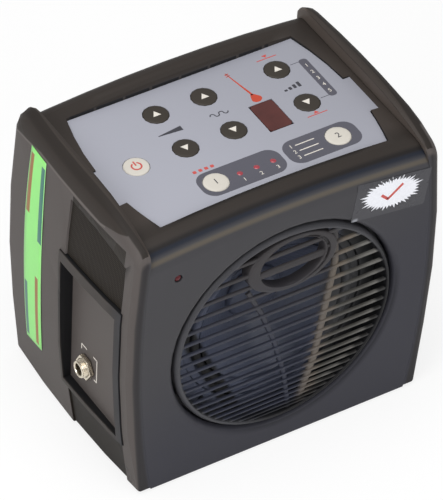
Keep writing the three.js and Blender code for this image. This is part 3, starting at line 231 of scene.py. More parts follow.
class Reading:
    """A shader socket that ordinary arithmetic works on."""

    __add__ = __radd__ = arithmetic("ADD")
    __sub__, __rsub__ = arithmetic("SUBTRACT"), arithmetic("SUBTRACT", swapped=True)
    __mul__ = __rmul__ = arithmetic("MULTIPLY")
    __truediv__ = arithmetic("DIVIDE")
    __gt__, __lt__ = arithmetic("GREATER_THAN"), arithmetic("LESS_THAN")
    most, least = arithmetic("MAXIMUM"), arithmetic("MINIMUM")

    def __init__(self, graph, socket):
        self.graph = graph
        self.socket = socket

    def __abs__(self):
        return self.graph.math("ABSOLUTE", self)

    def rise(self, low, high):
        """From 0 below low to 1 above high, smoothly."""
        settings = {"interpolation_type": "SMOOTHSTEP"}
        return self.graph.node(
            "ShaderNodeMapRange", settings, {"Value": self, "From Min": low, "From Max": high}
        )

    def wave(self, length):
        """A sine wave of a length along this value."""
        return self.graph.math("SINE", self * (math.tau / length))


class Graph:
    """The node tree of a shader."""

    def __init__(self, tree):
        self.tree = tree

    def feed(self, socket, value):
        if isinstance(value, Reading):
            self.tree.links.new(value.socket, socket)
        elif isinstance(value, tuple) and len(socket.default_value) == 4:
            socket.default_value = (*value, 1.0)
        else:
            socket.default_value = value

    def node(self, kind, settings=None, inputs=None, output=0):
        node = self.tree.nodes.new(kind)
        for key, value in (settings or {}).items():
            setattr(node, key, value)
        for key, value in (inputs or {}).items():
            self.feed(node.inputs[key], value)
        return Reading(self, node.outputs[output])

    def math(self, operation, *values):
        inputs = dict(enumerate(values))
        return self.node("ShaderNodeMath", {"operation": operation}, inputs)


class Finish(Graph):
    """A material that is built node by node."""

    def __init__(self, name, **constants):
        self.material = bpy.data.materials.new(name)
        self.material.use_nodes = True
        super().__init__(self.material.node_tree)
        self.shader = self.tree.nodes["Principled BSDF"]
        for key, value in constants.items():
            self.feed(self.shader.inputs[key.replace("_", " ")], value)
        self.place = self.node("ShaderNodeTexCoord", output="Object")

    def axes(self):
        """The place along X, Y and Z, in millimetres."""
        split = self.node("ShaderNodeSeparateXYZ", inputs={"Vector": self.place})
        outputs = split.socket.node.outputs
        return [Reading(self, outputs[key]) / MM for key in ("X", "Y", "Z")]

    def round_axis(self):
        """The place along X, Y and Z, and its height over and its distance from the speaker's axis."""
        x, y, z = self.axes()
        up = z - AXIS_HEIGHT
        return x, y, z, up, self.math("SQRT", x * x + up * up)

    def noise(self, size, detail=2.0, stretch=(1, 1, 1)):
        """Soft noise whose blotches are about as wide as size, in millimetres."""
        place = self.place
        if stretch != (1, 1, 1):
            place = self.node("ShaderNodeMapping", inputs={"Vector": place, "Scale": stretch})
        inputs = {"Vector": place, "Scale": 1 / (size * MM), "Detail": detail}
        return self.node("ShaderNodeTexNoise", inputs=inputs)

    def mixed(self, factor, first, second):
        """A colour between two colours."""
        return self.node("ShaderNodeMix", {"data_type": "RGBA"}, {0: factor, 6: first, 7: second}, 2)

    def layered(self, base, *layers):
        """A colour with others laid over it in turn, each given as its share and its colour."""
        for share, color in layers:
            base = self.mixed(share, base, color)
        return base

    def done(self, color, roughness, relief=None, depth=0.0):
        """Feeds the shader, with a relief whose depth is in millimetres, and gives the material."""
        self.feed(self.shader.inputs["Base Color"], color)
        self.feed(self.shader.inputs["Roughness"], roughness)
        if relief is not None:
            bump = self.node("ShaderNodeBump", inputs={"Height": relief, "Distance": depth * MM})
            self.feed(self.shader.inputs["Normal"], bump)
        return self.material


# Tones
FRONT_TONE = (0.0445, 0.0435, 0.048)
FAR_TONE = (0.0335, 0.0335, 0.043)
# The front's one plastic with painted light and shade: painted lighter on the side, darker and browner on the
# crown
LIT_SIDE_TONE = (0.084, 0.073, 0.069)
SHADED_CROWN_TONE = (0.043, 0.035, 0.0305)
VENT_TONE = (0.0125, 0.0096, 0.0072)
CORNER_TONE = (0.0245, 0.0228, 0.0245)
# Painted reflections on the front's rolled edge: a blue band, a warm painted highlight and a dark band
BLUE_REFLECTION_TONE = (0.0125, 0.0155, 0.0245)
WARM_HIGHLIGHT_TONE = (0.085, 0.073, 0.058)
DARK_REFLECTION_TONE = (0.012, 0.0105, 0.0105)
# Near black: laid on as painted shadow and shade, and also used for the driver's dark band, its fibre marks
# and the tray's walls
DEEP_TONE = (0.007, 0.007, 0.008)
# The grille's tone, and its ring's tone painted lighter as painted light
GRILLE_TONE, LIT_RING_TONE = (0.036, 0.033, 0.035), (0.05, 0.05, 0.056)
# The grille's bluish tone below, and painted light on the slats right of the rib
COOL_TONE, LIT_TONE = (0.031, 0.034, 0.05), (0.07, 0.067, 0.061)
# Painted highlights: on the slats' tips, and warm along the grille's right-hand rib
TIP_HIGHLIGHT_TONE, SHEEN_HIGHLIGHT_TONE = (0.15, 0.145, 0.135), (0.2, 0.165, 0.125)
COLLAR_FRONT_TONE, COLLAR_BACK_TONE = (0.026, 0.026, 0.03), (0.042, 0.036, 0.033)
# The driver's blue, partly its own colour and partly painted reflection, and the grey of the painted shadow
# right of its rib
DRIVER_TONE_AND_REFLECTION, RIB_SHADOW_GREY = (0.068, 0.078, 0.118), (0.05, 0.05, 0.053)
DUST_TONE = (0.4, 0.38, 0.35)
PAD_TIN, RUST_TONE = (0.5, 0.48, 0.42), (0.12, 0.06, 0.03)
LAMP_DARK, LAMP_BRIGHT = (0.2, 0.012, 0.022), (0.42, 0.05, 0.07)
LABEL_GREEN, LABEL_BORDER = (0.24, 0.68, 0.17), (0.33, 0.72, 0.27)
LABEL_BROWN, LABEL_TEAL = (0.26, 0.11, 0.02), (0.035, 0.15, 0.12)
FILM_DARK, FILM_PALE, FILM_LIFTED = (0.046, 0.046, 0.053), (0.054, 0.053, 0.06), (0.3, 0.31, 0.34)

# Stripes of the label: colour, shares of its width, and heights
LABEL_STRIPES = [
    (LABEL_TEAL, 0.04, 0.25, 103, 148), (LABEL_BROWN, 0.76, 0.95, 113.5, 149),
    (LABEL_BROWN, 0.17, 0.34, 31, 79), (LABEL_TEAL, 0.8, 0.96, 29.5, 68),
]
LABEL_RIM = 0.03


def tone(color, share):
    return tuple(min(part * share, 1.0) for part in color)


def moulded(name, color, roughness, grain=0.35, depth=0.012, cast=0.1, places=None):
    """Moulded plastic: fine spark-eroded grain, faint cloudiness and a little dust in the grain."""
    finish = Finish(name, Specular_IOR_Level=0.16)
    cloud = finish.noise(26, 3)
    fine = finish.noise(grain, 2)
    dust = finish.noise(1.4, 4).rise(0.62, 0.82)
    base = finish.mixed(cloud, tone(color, 1 - cast), tone(color, 1 + cast))
    if places:
        base = places(finish, base)
    dusty = finish.mixed(dust * 0.012 + fine * 0.008, base, DUST_TONE)
    return finish.done(dusty, roughness - 0.06 + cloud * 0.07 + fine * 0.07, fine, depth)


def front_shade(finish, x, z, base):
    """The front is a little deeper and bluer towards its lower right."""
    return finish.mixed((x * 0.5 - z).rise(-135, -45), base, FAR_TONE)


def lower_right(x, up):
    """How far a place lies towards the speaker's lower right, in millimetres."""
    return x * 0.64 - up * 0.77


def front_places(finish, base):
    """The wrap is browner on top in painted shade, banded over its rolled edge with painted reflections, and
    in painted shadow round the speaker's lower right and on the window's walls.
    """
    x, y, z, up, radius = finish.round_axis()
    # Painted shadow round the speaker's lower right
    shadow = lower_right(x, up).rise(14, 50) * (1 - radius.rise(62, 66)) * (y < 1 - HALF_DEPTH)
    face = finish.mixed(shadow * 0.75, front_shade(finish, x, z, base), DEEP_TONE)
    up_the_roll = z - ROLL_START + x * x * (CROWN_FALL / CORNER_HALF_WIDTH ** 2)
    # The crown in painted shade, darker still towards its back and along the front of the top
    crown = finish.mixed(y.rise(10, 45), SHADED_CROWN_TONE, tone(SHADED_CROWN_TONE, 0.7))
    crown = finish.mixed(y.rise(-44, -34), tone(SHADED_CROWN_TONE, 0.64), crown)
    # Bands of painted reflection over the rolled edge: a warm painted highlight, then blue, then dark, before
    # the crown
    over = up_the_roll + y + HALF_DEPTH
    warm = over.rise(4.2, 6.6) * (1 - over.rise(7.2, 9.8)) * 0.95
    rolled = finish.layered(
        face, (over.rise(8.6, 13), BLUE_REFLECTION_TONE), (over.rise(13.2, 15.8), DARK_REFLECTION_TONE),
        (over.rise(15.8, 19.4), crown), (warm, WARM_HIGHLIGHT_TONE),
    )
    # Painted shade on the window's walls
    window = (abs(x) < WINDOW_HALF[0]) * (abs(y) < WINDOW_HALF[1])
    walls = window * (z > WINDOW_FLOOR) * (up_the_roll < 11.7)
    on_crown, on_roll = up_the_roll.rise(7, 12), 1 - y.rise(-47, -42)
    return finish.layered(face, (on_crown, crown), (on_roll, rolled), (walls, DEEP_TONE))


def grille_places(finish, base):
    """The grille is bluish below and warm above, with a warm painted highlight on and beside its right-hand
    rib, painted light on the slats right of it and on their tips, painted shadow on the lower right slat
    ends, and its ring painted lighter with painted shade towards the right and bottom.
    """
    x, y, z, up, radius = finish.round_axis()
    (top_x, top), (foot_x, foot) = RIBS[1][0][1], RIBS[1][0][-1]
    aside = x - foot_x - (up - foot) * ((top_x - foot_x) / (top - foot))
    within = 1 - radius.rise(56.5, 57.8)
    # Painted highlights on the slats' tips towards the rim, right of the rib
    tip_highlights = aside.rise(5, 15) * radius.rise(44, 55) * within * 0.8
    # A warm painted highlight along the right-hand rib
    sheen = (1 - abs(aside - 2.5).rise(1.0, 7.5)) * within * 0.5
    # Painted shadow on the slat ends at the lower right, inside the ring
    ends = lower_right(x, up).rise(14, 34) * radius.rise(51.5, 54.5) * within * 0.85
    # Painted shade on the ring towards its right and bottom
    ring_shade = (x * 0.8 - up * 0.6).rise(5, 42) * (1 - within)
    return finish.layered(
        COOL_TONE, ((up + x * 0.3).rise(-15, 42), base), (1 - within, LIT_RING_TONE),
        (aside.rise(1, 9) * within, LIT_TONE), (tip_highlights, TIP_HIGHLIGHT_TONE), (sheen, SHEEN_HIGHLIGHT_TONE),
        (ends, DEEP_TONE), (ring_shade, DEEP_TONE),
    )


def below_side(finish, x, y, z):
    """How far a place is inwards from the bowed side of the end cap, in millimetres."""
    up = z - BOW_HEIGHT
    share = y / HALF_DEPTH
    bow = CORNER_HALF_WIDTH + SIDE_BOW - up * up / (2 * BOW_RADIUS)
    return bow + PLAN_BOW * (1 - share * share) - abs(x)


def cap_places(finish, base):
    """The end cap is browner on its rim, with painted shade on its crest, painted light on its inner wall and
    a painted highlight under the rim; it takes the front's tone in front, and is dark below the tray.
    """
    x, y, z = finish.axes()
    inset = below_side(finish, x, y, z)
    front = finish.mixed(inset.rise(4.2, 6.2), CORNER_TONE, front_shade(finish, x, z, FRONT_TONE))
    over_edge = z - RIM_EDGE + (y - 30).most(0.0) * 0.17 - (-26 - y).most(0.0) * 0.22
    # A painted highlight just under the rim's lower edge
    lip_highlight = over_edge.rise(-1.6, -1.0) * (1 - over_edge.rise(-0.5, -0.2)) * (y > -30)
    # Painted light on the rim's inner wall below the crest, and painted shade on the crest's top
    slope = (y + 8).least(0.0)
    below_crest = 1 - (z - CREST_HEIGHT + slope * slope / 280).rise(-1.8, -0.6)
    inner = finish.mixed(below_crest, tone(SHADED_CROWN_TONE, 0.9), tone(SHADED_CROWN_TONE, 2.1))
    outer = finish.mixed(inset.rise(1.6, 2.4), tone(SHADED_CROWN_TONE, 0.68), tone(SHADED_CROWN_TONE, 0.5))
    on_rim = over_edge.rise(-0.3, 0.3).most(inset.rise(2.2, 3.2) * (z > WINDOW_FLOOR) * (y > -56.5))
    aside = abs(y - TRAY_Y)
    below_tray = (inset > 0.5) * (inset < 1.6) * (z < 29) * (aside < 24.2)
    above_vent = (z > 140) * (z < 151.9) * (aside < 22.6)
    dots = dimples(finish, y, z)
    return finish.layered(
        base, (1 - y.rise(-58.8, -57.7), front), (lip_highlight, tone(LIT_SIDE_TONE, 1.3)),
        (on_rim, finish.mixed(inset.rise(5.5, 6.1), outer, inner)),
        (below_tray, finish.mixed(dots, tone(VENT_TONE, 0.7), tone(VENT_TONE, 1.5))),
        (above_vent, finish.mixed(dots, tone(VENT_TONE, 0.6), tone(VENT_TONE, 2.6))),
    )


def tray_places(finish, base):
    """The tray's collar is darker than its sunk panel, and the walls between them are nearly black."""
    x, y, z = finish.axes()
    sunk = below_side(finish, x, y, z).rise(-0.7, 0.3)
    collar = finish.mixed(y.rise(-52, -38), COLLAR_FRONT_TONE, COLLAR_BACK_TONE)
    return finish.layered(collar, (sunk, DEEP_TONE), (abs(x) < TRAY_FACE + 0.25, base))


def dimples(finish, y, z, pitch=1.5):
    """A fine grid of dots set at an angle, from 0 in the pits to 1 on the dots."""
    diagonal = pitch * math.sqrt(2)
    return ((y + z).wave(diagonal) * (z - y).wave(diagonal)).rise(-0.3, 0.7)


def dimpled(name, color):
    """Vent band: a fine grid of dimples in dark plastic."""
    finish = Finish(name, Specular_IOR_Level=0.15)
    x, y, z = finish.axes()
    dots = dimples(finish, y, z)
    dark = finish.mixed(finish.noise(14, 3), tone(color, 0.3), tone(color, 0.5))
    return finish.done(finish.mixed(dots, dark, tone(color, 2.6)), 0.7 - dots * 0.15, dots, 0.1)


def film(name, color):
    """Printed overlay film: satin, with a slight orange peel and a soft shift of shade."""
    finish = Finish(name)
    x, y, z = finish.axes()
    peel = finish.noise(1.3, 2)
    specks = finish.noise(0.45, 3).rise(0.64, 0.78)
    base = finish.mixed((x + y * 0.6).rise(-70, 80), color, tone(color, 0.84))
    return finish.done(finish.mixed(specks * 0.25, base, tone(color, 0.8)), 0.38 + peel * 0.08, peel, 0.006)


def ink(name, color):
    """Screen print: slightly uneven, with a fine rough edge to its gloss."""
    finish = Finish(name)
    patch = finish.noise(0.9, 3)
    base = finish.mixed(patch, tone(color, 0.88), tone(color, 1.1))
    return finish.done(base, 0.44 + patch * 0.12, patch, 0.004)


def glassy(name, color):
    """Tinted window: glossy, cloudy and lightly scuffed."""
    finish = Finish(name)
    scuff = finish.noise(0.8, 4, (1, 7, 1)).rise(0.62, 0.8)
    base = finish.mixed(finish.noise(9, 3), tone(color, 0.55), tone(color, 1.2))
    return finish.done(base, 0.1 + scuff * 0.25)


def lamp_red(name, share=1.0):
    """Clear red lamp: bright patches in a dark red, under a clear coat."""
    finish = Finish(name, Coat_Roughness=0.05, Specular_IOR_Level=0.5 * share)
    cloud = finish.noise(0.9, 2)
    finish.feed(finish.shader.inputs["Coat Weight"], (0.4 + cloud * 0.3) * share)
    base = finish.mixed(cloud, tone(LAMP_DARK, share), tone(LAMP_BRIGHT, share))
    return finish.done(base, 0.14 + cloud * 0.1)


def coated(name, color, roughness, depth):
    """Driver parts: a bluish coating whose blue is partly painted reflection, lighter in a broad painted
    reflection, parted by a dark band from a greyer painted shadow right of the rib, with painted shadow along
    the lower edge.
    """
    finish = Finish(name, Specular_IOR_Level=0.3)
    x, y, z, up, radius = finish.round_axis()
    fibre = finish.noise(2.2, 4)
    past_band = (x + 42.5) * 0.91 + (up + 5.8) * 0.42
    past_rib = x - up * 0.11 - 33.5
    # A broad painted reflection, lighter next to the dark band
    left = finish.mixed(past_band.rise(2, 45), tone(color, 1.25), tone(color, 0.85))
    # Painted shadow right of the rib, deeper towards the rim
    grey = finish.mixed(radius.rise(44, 54), RIB_SHADOW_GREY, DEEP_TONE)
    # Painted shadow along the lower edge
    foot = radius.rise(51, 56) * (up * -1.0).rise(24, 42) * 0.75
    dark = (1 - abs(past_band).rise(3.0, 5.5)).most(foot)
    base = finish.layered(left, (past_rib.rise(-4, 2), grey), (dark, DEEP_TONE), (fibre * 0.2, DEEP_TONE))
    return finish.done(base, roughness - 0.06 + fibre * 0.16, radius.wave(2.1) * 0.5 + fibre * 0.6, depth)


def soft_rubber(name, color):
    """Matt rubber with a powdery bloom."""
    finish = Finish(name)
    bloom = finish.noise(2.5, 4)
    powdery = finish.mixed(bloom.rise(0.45, 0.75) * 0.4, color, tone(color, 3.0))
    return finish.done(powdery, 0.72 + bloom * 0.16, finish.noise(0.4, 2), 0.02)


def bright_metal(name, color, roughness, stretch=(1, 1, 1), size=0.5):
    """Plated metal with fine drawn or turned marks and a little staining."""
    finish = Finish(name, Metallic=1.0)
    marks = finish.noise(size, 3, stretch)
    stain = finish.noise(3.5, 4).rise(0.5, 0.8)
    base = finish.mixed(marks, tone(color, 0.86), tone(color, 1.08))
    base = finish.mixed(stain * 0.3, base, tone(color, 0.6))
    return finish.done(base, roughness - 0.05 + marks * 0.1 + stain * 0.1, marks, 0.004)


def circuit_board(name, color, lower=(0, 2)):
    """Solder mask with tracks that run along two directions, and tinned pads."""
    finish = Finish(name)
    places = finish.axes()
    u, v = places[lower[0]], places[lower[1]]
    lanes = finish.math("FRACT", v / 2.4) > 0.62
    breaks = finish.noise(16, 1) > 0.48
    cross = (finish.math("FRACT", u / 3.1) > 0.7) * (1 - breaks)
    tracks = (lanes * breaks).most(cross)
    pads = finish.noise(2.6, 0) > 0.68
    return finish.done(
        finish.layered(color, (tracks, tone(color, 1.9)), (pads, PAD_TIN)), 0.3 + pads * 0.15, tracks, 0.04,
    )


def wound_wire(name, color):
    """Enamelled copper wire lying in turns."""
    finish = Finish(name, Metallic=0.7)
    turns = finish.axes()[2].wave(0.9)
    base = finish.mixed(turns * 0.5 + 0.5, tone(color, 0.45), tone(color, 1.2))
    return finish.done(base, 0.28 + finish.noise(4, 2) * 0.16, turns, 0.15)


def laminated(name, color):
    """Transformer core: a stack of thin steel plates seen on edge."""
    finish = Finish(name, Metallic=0.8)
    plates = finish.axes()[1].wave(0.5)
    rust = finish.noise(3, 5).rise(0.55, 0.75)
    base = finish.mixed(plates * 0.5 + 0.5, tone(color, 0.5), tone(color, 1.1))
    return finish.done(finish.mixed(rust * 0.5, base, RUST_TONE), 0.42 + rust * 0.3, plates, 0.05)


def woven_cloth(name, color):
    """Resin-treated cloth of the spider: an open weave."""
    finish = Finish(name)
    x, y, z = finish.axes()
    weave = x.wave(0.8) * z.wave(0.8) * 0.5 + 0.5
    base = finish.mixed(weave, tone(color, 0.6), tone(color, 1.3))
    return finish.done(base, 0.68 + weave * 0.14, weave, 0.1)


def label_edges(z, low):
    """The label's front and rear edges at a height, which bow with the end cap; low is z below its middle."""
    aside = z - LABEL_FRONT_MIDDLE
    return aside * aside * LABEL_FRONT_CURVE + LABEL_FRONT, low * low * LABEL_REAR_CURVE + LABEL_REAR


def striped_label(name):
    """Green label with a brown and a teal stripe that change sides halfway down."""
    finish = Finish(name)
    x, y, z = finish.axes()
    front_edge, rear_edge = label_edges(z, (z - LABEL_REAR_MIDDLE).least(0.0))
    share = (y - front_edge) / (rear_edge - front_edge)
    fade = finish.noise(7, 3)
    base = finish.mixed(fade, tone(LABEL_GREEN, 0.92), tone(LABEL_GREEN, 1.06))
    for color, near, far, low, high in LABEL_STRIPES:
        base = finish.mixed((share > near) * (share < far) * (z > low) * (z < high), base, color)
    border = (share < LABEL_RIM).most(share > 1 - LABEL_RIM)
    return finish.done(finish.mixed(border, base, LABEL_BORDER), 0.4 + fade * 0.1, finish.noise(1.2, 2), 0.01)


def carrier_film(name):
    """The sticker's carrier film: nearly the front's shade, glossier, and lifted at its lower left."""
    finish = Finish(name, Specular_IOR_Level=0.25)
    x, y, z = finish.axes()
    haze = finish.noise(6, 3)
    lifted = (1 - abs(x - LIFTED_CORNER[0]).rise(0.6, 2.2)) * (1 - abs(z - LIFTED_CORNER[1]).rise(0.4, 1.8))
    base = finish.mixed(haze, FILM_DARK, FILM_PALE)
    return finish.done(finish.mixed(lifted * 0.8, base, FILM_LIFTED), 0.22 + haze * 0.12)


# Looks by their plain names, as a packed material can have the same name
LOOKS = {material.name.partition(".")[0]: material for material in (
    moulded("front_plastic", FRONT_TONE, 0.46, cast=0.06, places=front_places),
    moulded("rear_plastic", FRONT_TONE, 0.46, cast=0.06),
    # The side, cap and tray plastics start from the side's tone, which is painted light
    moulded("side_plastic", LIT_SIDE_TONE, 0.56, cast=0.06),
    moulded("cap_plastic", tone(LIT_SIDE_TONE, 0.9), 0.54, cast=0.06, places=cap_places),
    moulded("tray_plastic", LIT_SIDE_TONE, 0.54, cast=0.06, places=tray_places),
    dimpled("vent_plastic", VENT_TONE),
    moulded("grille_plastic", GRILLE_TONE, 0.36, 0.3, 0.008, places=grille_places),
    film("overlay_film", (0.34, 0.345, 0.395)),
    moulded("key_dark_plastic", (0.04, 0.034, 0.028), 0.42, 0.3, 0.006),
    moulded("key_pale_plastic", (0.56, 0.53, 0.475), 0.4, 0.3, 0.005, 0.03),
    glassy("display_glass", (0.085, 0.02, 0.017)),
    lamp_red("lamp_red_plastic"),
    lamp_red("dim_lamp_plastic", 0.25),
    # The driver's parts share a blue that is partly painted reflection
    coated("cone_paper", DRIVER_TONE_AND_REFLECTION, 0.32, 0.05),
    coated("roll_rubber", DRIVER_TONE_AND_REFLECTION, 0.5, 0.02),
    coated("baffle_plastic", DRIVER_TONE_AND_REFLECTION, 0.45, 0.015),
    soft_rubber("soft_rubber", (0.014, 0.014, 0.015)),
    circuit_board("board_mask", (0.02, 0.09, 0.04)),
    circuit_board("pad_board_mask", (0.02, 0.09, 0.04), (0, 1)),
    moulded("black_plastic", (0.014, 0.014, 0.016), 0.5, 0.4, 0.01),
    moulded("peg_plastic", (0.05, 0.044, 0.042), 0.46),
    wound_wire("copper_wire", (0.45, 0.16, 0.06)),
    laminated("core_plates", (0.2, 0.2, 0.22)),
    bright_metal("plated_steel", (0.42, 0.43, 0.45), 0.38),
    bright_metal("blackened_steel", (0.035, 0.036, 0.042), 0.5),
    bright_metal("nickel_plate", (0.72, 0.65, 0.53), 0.26, (1, 1, 6), 0.4),
    woven_cloth("spider_weave", (0.3, 0.16, 0.06)),
    ink("pill_ink", (0.08, 0.079, 0.1)),
    ink("dark_ink", (0.035, 0.035, 0.045)),
    ink("pale_ink", (0.68, 0.64, 0.58)),
    ink("red_ink", (0.5, 0.07, 0.058)),
    ink("orange_ink", (0.46, 0.05, 0.02)),
    ink("white_ink", (0.78, 0.79, 0.84)),
    striped_label("label_film"),
    carrier_film("carrier_film"),
)}

# The look of a material slot where it has another name, and of the nodes that differ from their slot
SLOT_LOOKS = {
    "key_dark": "key_dark_plastic", "key_pale": "key_pale_plastic", "lamp_red": "lamp_red_plastic",
    "cone_film": "cone_paper", "rubber": "soft_rubber", "board": "board_mask", "copper": "copper_wire",
    "steel": "plated_steel", "nickel": "nickel_plate", "spider_cloth": "spider_weave",
}
OWN_LOOKS = {
    "rear_cover": "rear_plastic", "left_end_cap": "cap_plastic", "right_end_cap": "cap_plastic",
    "left_connector_tray": "tray_plastic", "right_connector_tray": "tray_plastic",
    "speaker_baffle": "baffle_plastic", "speaker_basket": "blackened_steel",
    "speaker_surround": "roll_rubber", "transformer_core": "core_plates",
    "keypad_board": "pad_board_mask", "power_lamp": "dim_lamp_plastic",
    **{f"speaker_screw_{i}": "blackened_steel" for i in range(1, 5)},
}
NODE_SLOTS = {part["node"]: part["material_slot"] for part in frame["record"]["subparts"]}
NODE_LOOKS = {node: OWN_LOOKS.get(node, SLOT_LOOKS.get(slot, slot)) for node, slot in NODE_SLOTS.items()}
SLOTS = {look: NODE_SLOTS[node] for node, look in NODE_LOOKS.items()}
SLOTS.update({
    "peg_plastic": "front_plastic", "pill_ink": "overlay_film", "dark_ink": "key_dark",
    "pale_ink": "key_pale", "red_ink": "lamp_red", "orange_ink": "lamp_red", "white_ink": "key_pale",
    "label_film": "overlay_film", "carrier_film": "overlay_film",
})
BODY_OF = {node: body for body, nodes in frame["record"]["behaviour"]["bodies"].items() for node in nodes}


# Pieces
def painted(obj, look):
    obj.data.materials.clear()
    obj.data.materials.append(LOOKS[look])


def finished(name, shape, look, body="case", smooth=40, scale=MM):
    """Turns a shape in millimetres into an object that rides on a body."""
    if scale != 1:
        bmesh.ops.scale(shape, vec=(scale, scale, scale), verts=shape.verts)
    mesh = bpy.data.meshes.new(name)
    shape.to_mesh(mesh)
    shape.free()
    mesh.shade_smooth()
    mesh.set_sharp_from_angle(angle=math.radians(smooth))
    piece = bpy.data.objects.new(name, mesh)
    bpy.context.scene.collection.objects.link(piece)
    painted(piece, look)
    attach(piece, body)
    return piece


def stand_in(node, suffix, shape, smooth, scale=MM):
    """Finishes a shape that takes the place of a CAD node."""
    piece = finished(f"{node}_{suffix}", shape, NODE_LOOKS[node], BODY_OF[node], smooth, scale)
    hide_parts(node)
    return piece


def skin_of(node, smooth=30, close_seam=False):
    """A merged copy of a CAD node, shaded smoothly across its curved faces."""
    shape = bmesh.new()
    shape.from_mesh(frame["nodes"][node].data)
    bmesh.ops.remove_doubles(shape, verts=shape.verts, dist=MERGE_REACH * MM)
    bmesh.ops.dissolve_limit(shape, angle_limit=FLAT_ANGLE, verts=shape.verts, edges=shape.edges)
    if close_seam:
        for vert in shape.verts:
            x, z = vert.co.x / MM, vert.co.z / MM
            if abs(abs(x) - front_half_width(z) + SEAM_INSET) < SEAM_REACH:
                vert.co.x += math.copysign(SEAM_CLOSED * MM, x)
    piece = stand_in(node, "skin", shape, smooth, 1)
    piece.modifiers.new("even_shading", "WEIGHTED_NORMAL").keep_sharp = True
    return piece


def worn_edge(piece, width, segments):
    """Rounds the sharp edges of a piece."""
    edge = piece.modifiers.new("worn_edge", "BEVEL")
    edge.width = width * MM
    edge.segments = segments
    edge.limit_method = "ANGLE"
    edge.angle_limit = math.radians(50)


# Shapes
def turned(profile, axis, centre, segments=96):
    """A profile of (radius, place along the axis) turned a full circle."""
    along = Vector(axis)
    across = Vector((0, 0, 1)) if abs(along.z) < 0.5 else Vector((1, 0, 0))
    origin = Vector(centre)
    shape = bmesh.new()
    points = [shape.verts.new(origin + across * radius + along * place) for radius, place in profile]
    edges = [shape.edges.new(pair) for pair in zip(points, points[1:])]
    bmesh.ops.spin(
        shape, geom=points + edges, cent=origin, axis=along, angle=math.tau, steps=segments, use_merge=True,
    )
    bmesh.ops.remove_doubles(shape, verts=shape.verts, dist=0.001)
    bmesh.ops.recalc_face_normals(shape, faces=shape.faces)
    return shape


def joined(shapes):
    whole = shapes[0]
    for shape in shapes[1:]:
        part = bpy.data.meshes.new("part")
        shape.to_mesh(part)
        shape.free()
        whole.from_mesh(part)
        bpy.data.meshes.remove(part)
    return whole


def thicken(shape, faces, thickness):
    """Makes a flat sheet a closed slab, upwards by a thickness."""
    grown = bmesh.ops.extrude_face_region(shape, geom=faces)
    top = [item for item in grown["geom"] if isinstance(item, bmesh.types.BMVert)]
    bmesh.ops.translate(shape, vec=(0, 0, thickness), verts=top)
    bmesh.ops.recalc_face_normals(shape, faces=shape.faces)
    return shape


def moved(shape, place, turn=None):
    """Turns a shape about the origin, then shifts it."""
    if turn:
        bmesh.ops.rotate(shape, cent=(0, 0, 0), matrix=turn, verts=shape.verts)
    bmesh.ops.translate(shape, vec=place, verts=shape.verts)
    return shape


def cut_out(points, level=PRINT_LEVEL, thickness=PRINT_THICKNESS):
    """A flat outline of (x, y) as a thin sheet whose top is at a level."""
    shape = bmesh.new()
    face = shape.faces.new([shape.verts.new((x, y, level - thickness)) for x, y in points])
    return thicken(shape, [face], thickness)


def rounded_box(x0, x1, y0, y1, radius, level=PRINT_LEVEL, thickness=PRINT_THICKNESS, segments=8):
    low = level - thickness
    corners = ((x0, y0, low), (x1, y0, low), (x1, y1, low), (x0, y1, low))
    shape = bmesh.new()
    face = shape.faces.new([shape.verts.new(corner) for corner in corners])
    bmesh.ops.bevel(
        shape, geom=list(face.verts), offset=radius, affect="VERTICES", segments=segments,
        profile=0.5, material=-1,
    )
    return thicken(shape, list(shape.faces), thickness)


def arc_strip(x, y, radius, width, start, sweep, level=PRINT_LEVEL, thickness=PRINT_THICKNESS, segments=28):
    """A flat curved stroke."""
    shape = bmesh.new()
    inner, outer = radius - width / 2, radius + width / 2
    direction = Vector((math.cos(start), math.sin(start), 0))
    centre = Vector((x, y, level - thickness))
    ends = [shape.verts.new(centre + direction * reach) for reach in (inner, outer)]
    edge = shape.edges.new(ends)
    bmesh.ops.spin(
        shape, geom=ends + [edge], cent=centre, axis=(0, 0, 1), angle=sweep, steps=segments,
        use_merge=abs(sweep) >= math.tau - 0.01,
    )
    return thicken(shape, list(shape.faces), thickness)


def stroke(x0, y0, x1, y1, width, level=PRINT_LEVEL, thickness=PRINT_THICKNESS):
    """A straight flat line between two places."""
    along = Vector((x1 - x0, y1 - y0)).normalized() * (width / 2)
    points = [
        (x0 + along.y, y0 - along.x), (x1 + along.y, y1 - along.x),
        (x1 - along.y, y1 + along.x), (x0 - along.y, y0 + along.x),
    ]
    return cut_out(points, level, thickness)


def digit(text, x, y, height=DIGIT_HEIGHT, level=OVER_LEVEL, thickness=PRINT_THICKNESS):
    """A plain digit lying flat."""
    curve = bpy.data.curves.new("digit", "FONT")
    curve.body = text
    curve.align_x = "CENTER"
    curve.align_y = "CENTER"
    curve.size = height * 1.4
    holder = bpy.data.objects.new("digit", curve)
    bpy.context.scene.collection.objects.link(holder)
    bpy.context.view_layer.update()
    flat = bpy.data.meshes.new_from_object(holder)
    bpy.data.objects.remove(holder)
    shape = bmesh.new()
    shape.from_mesh(flat)
    bpy.data.meshes.remove(flat)
    bmesh.ops.remove_doubles(shape, verts=shape.verts, dist=0.001)
    thicken(shape, list(shape.faces), thickness)
    return moved(shape, (x, y, level - thickness))


def stood_up(shape, y):
    """Stands a flat shape drawn in (x, z) upright at a depth y, facing the front."""
    return moved(shape, (0, y, 0), Matrix.Rotation(math.radians(90), 3, "X"))


# Case skins
def case_skins():
    for node in ("front_shell", "rear_cover"):
        skin_of(node, CASE_SMOOTH, close_seam=True)
    for side in ("left", "right"):
        skin_of(f"{side}_end_cap", CASE_SMOOTH)
        skin_of(f"{side}_vent_screen", CASE_SMOOTH)
        worn_edge(skin_of(f"{side}_connector_tray", CASE_SMOOTH), TRAY_EDGE, 3)


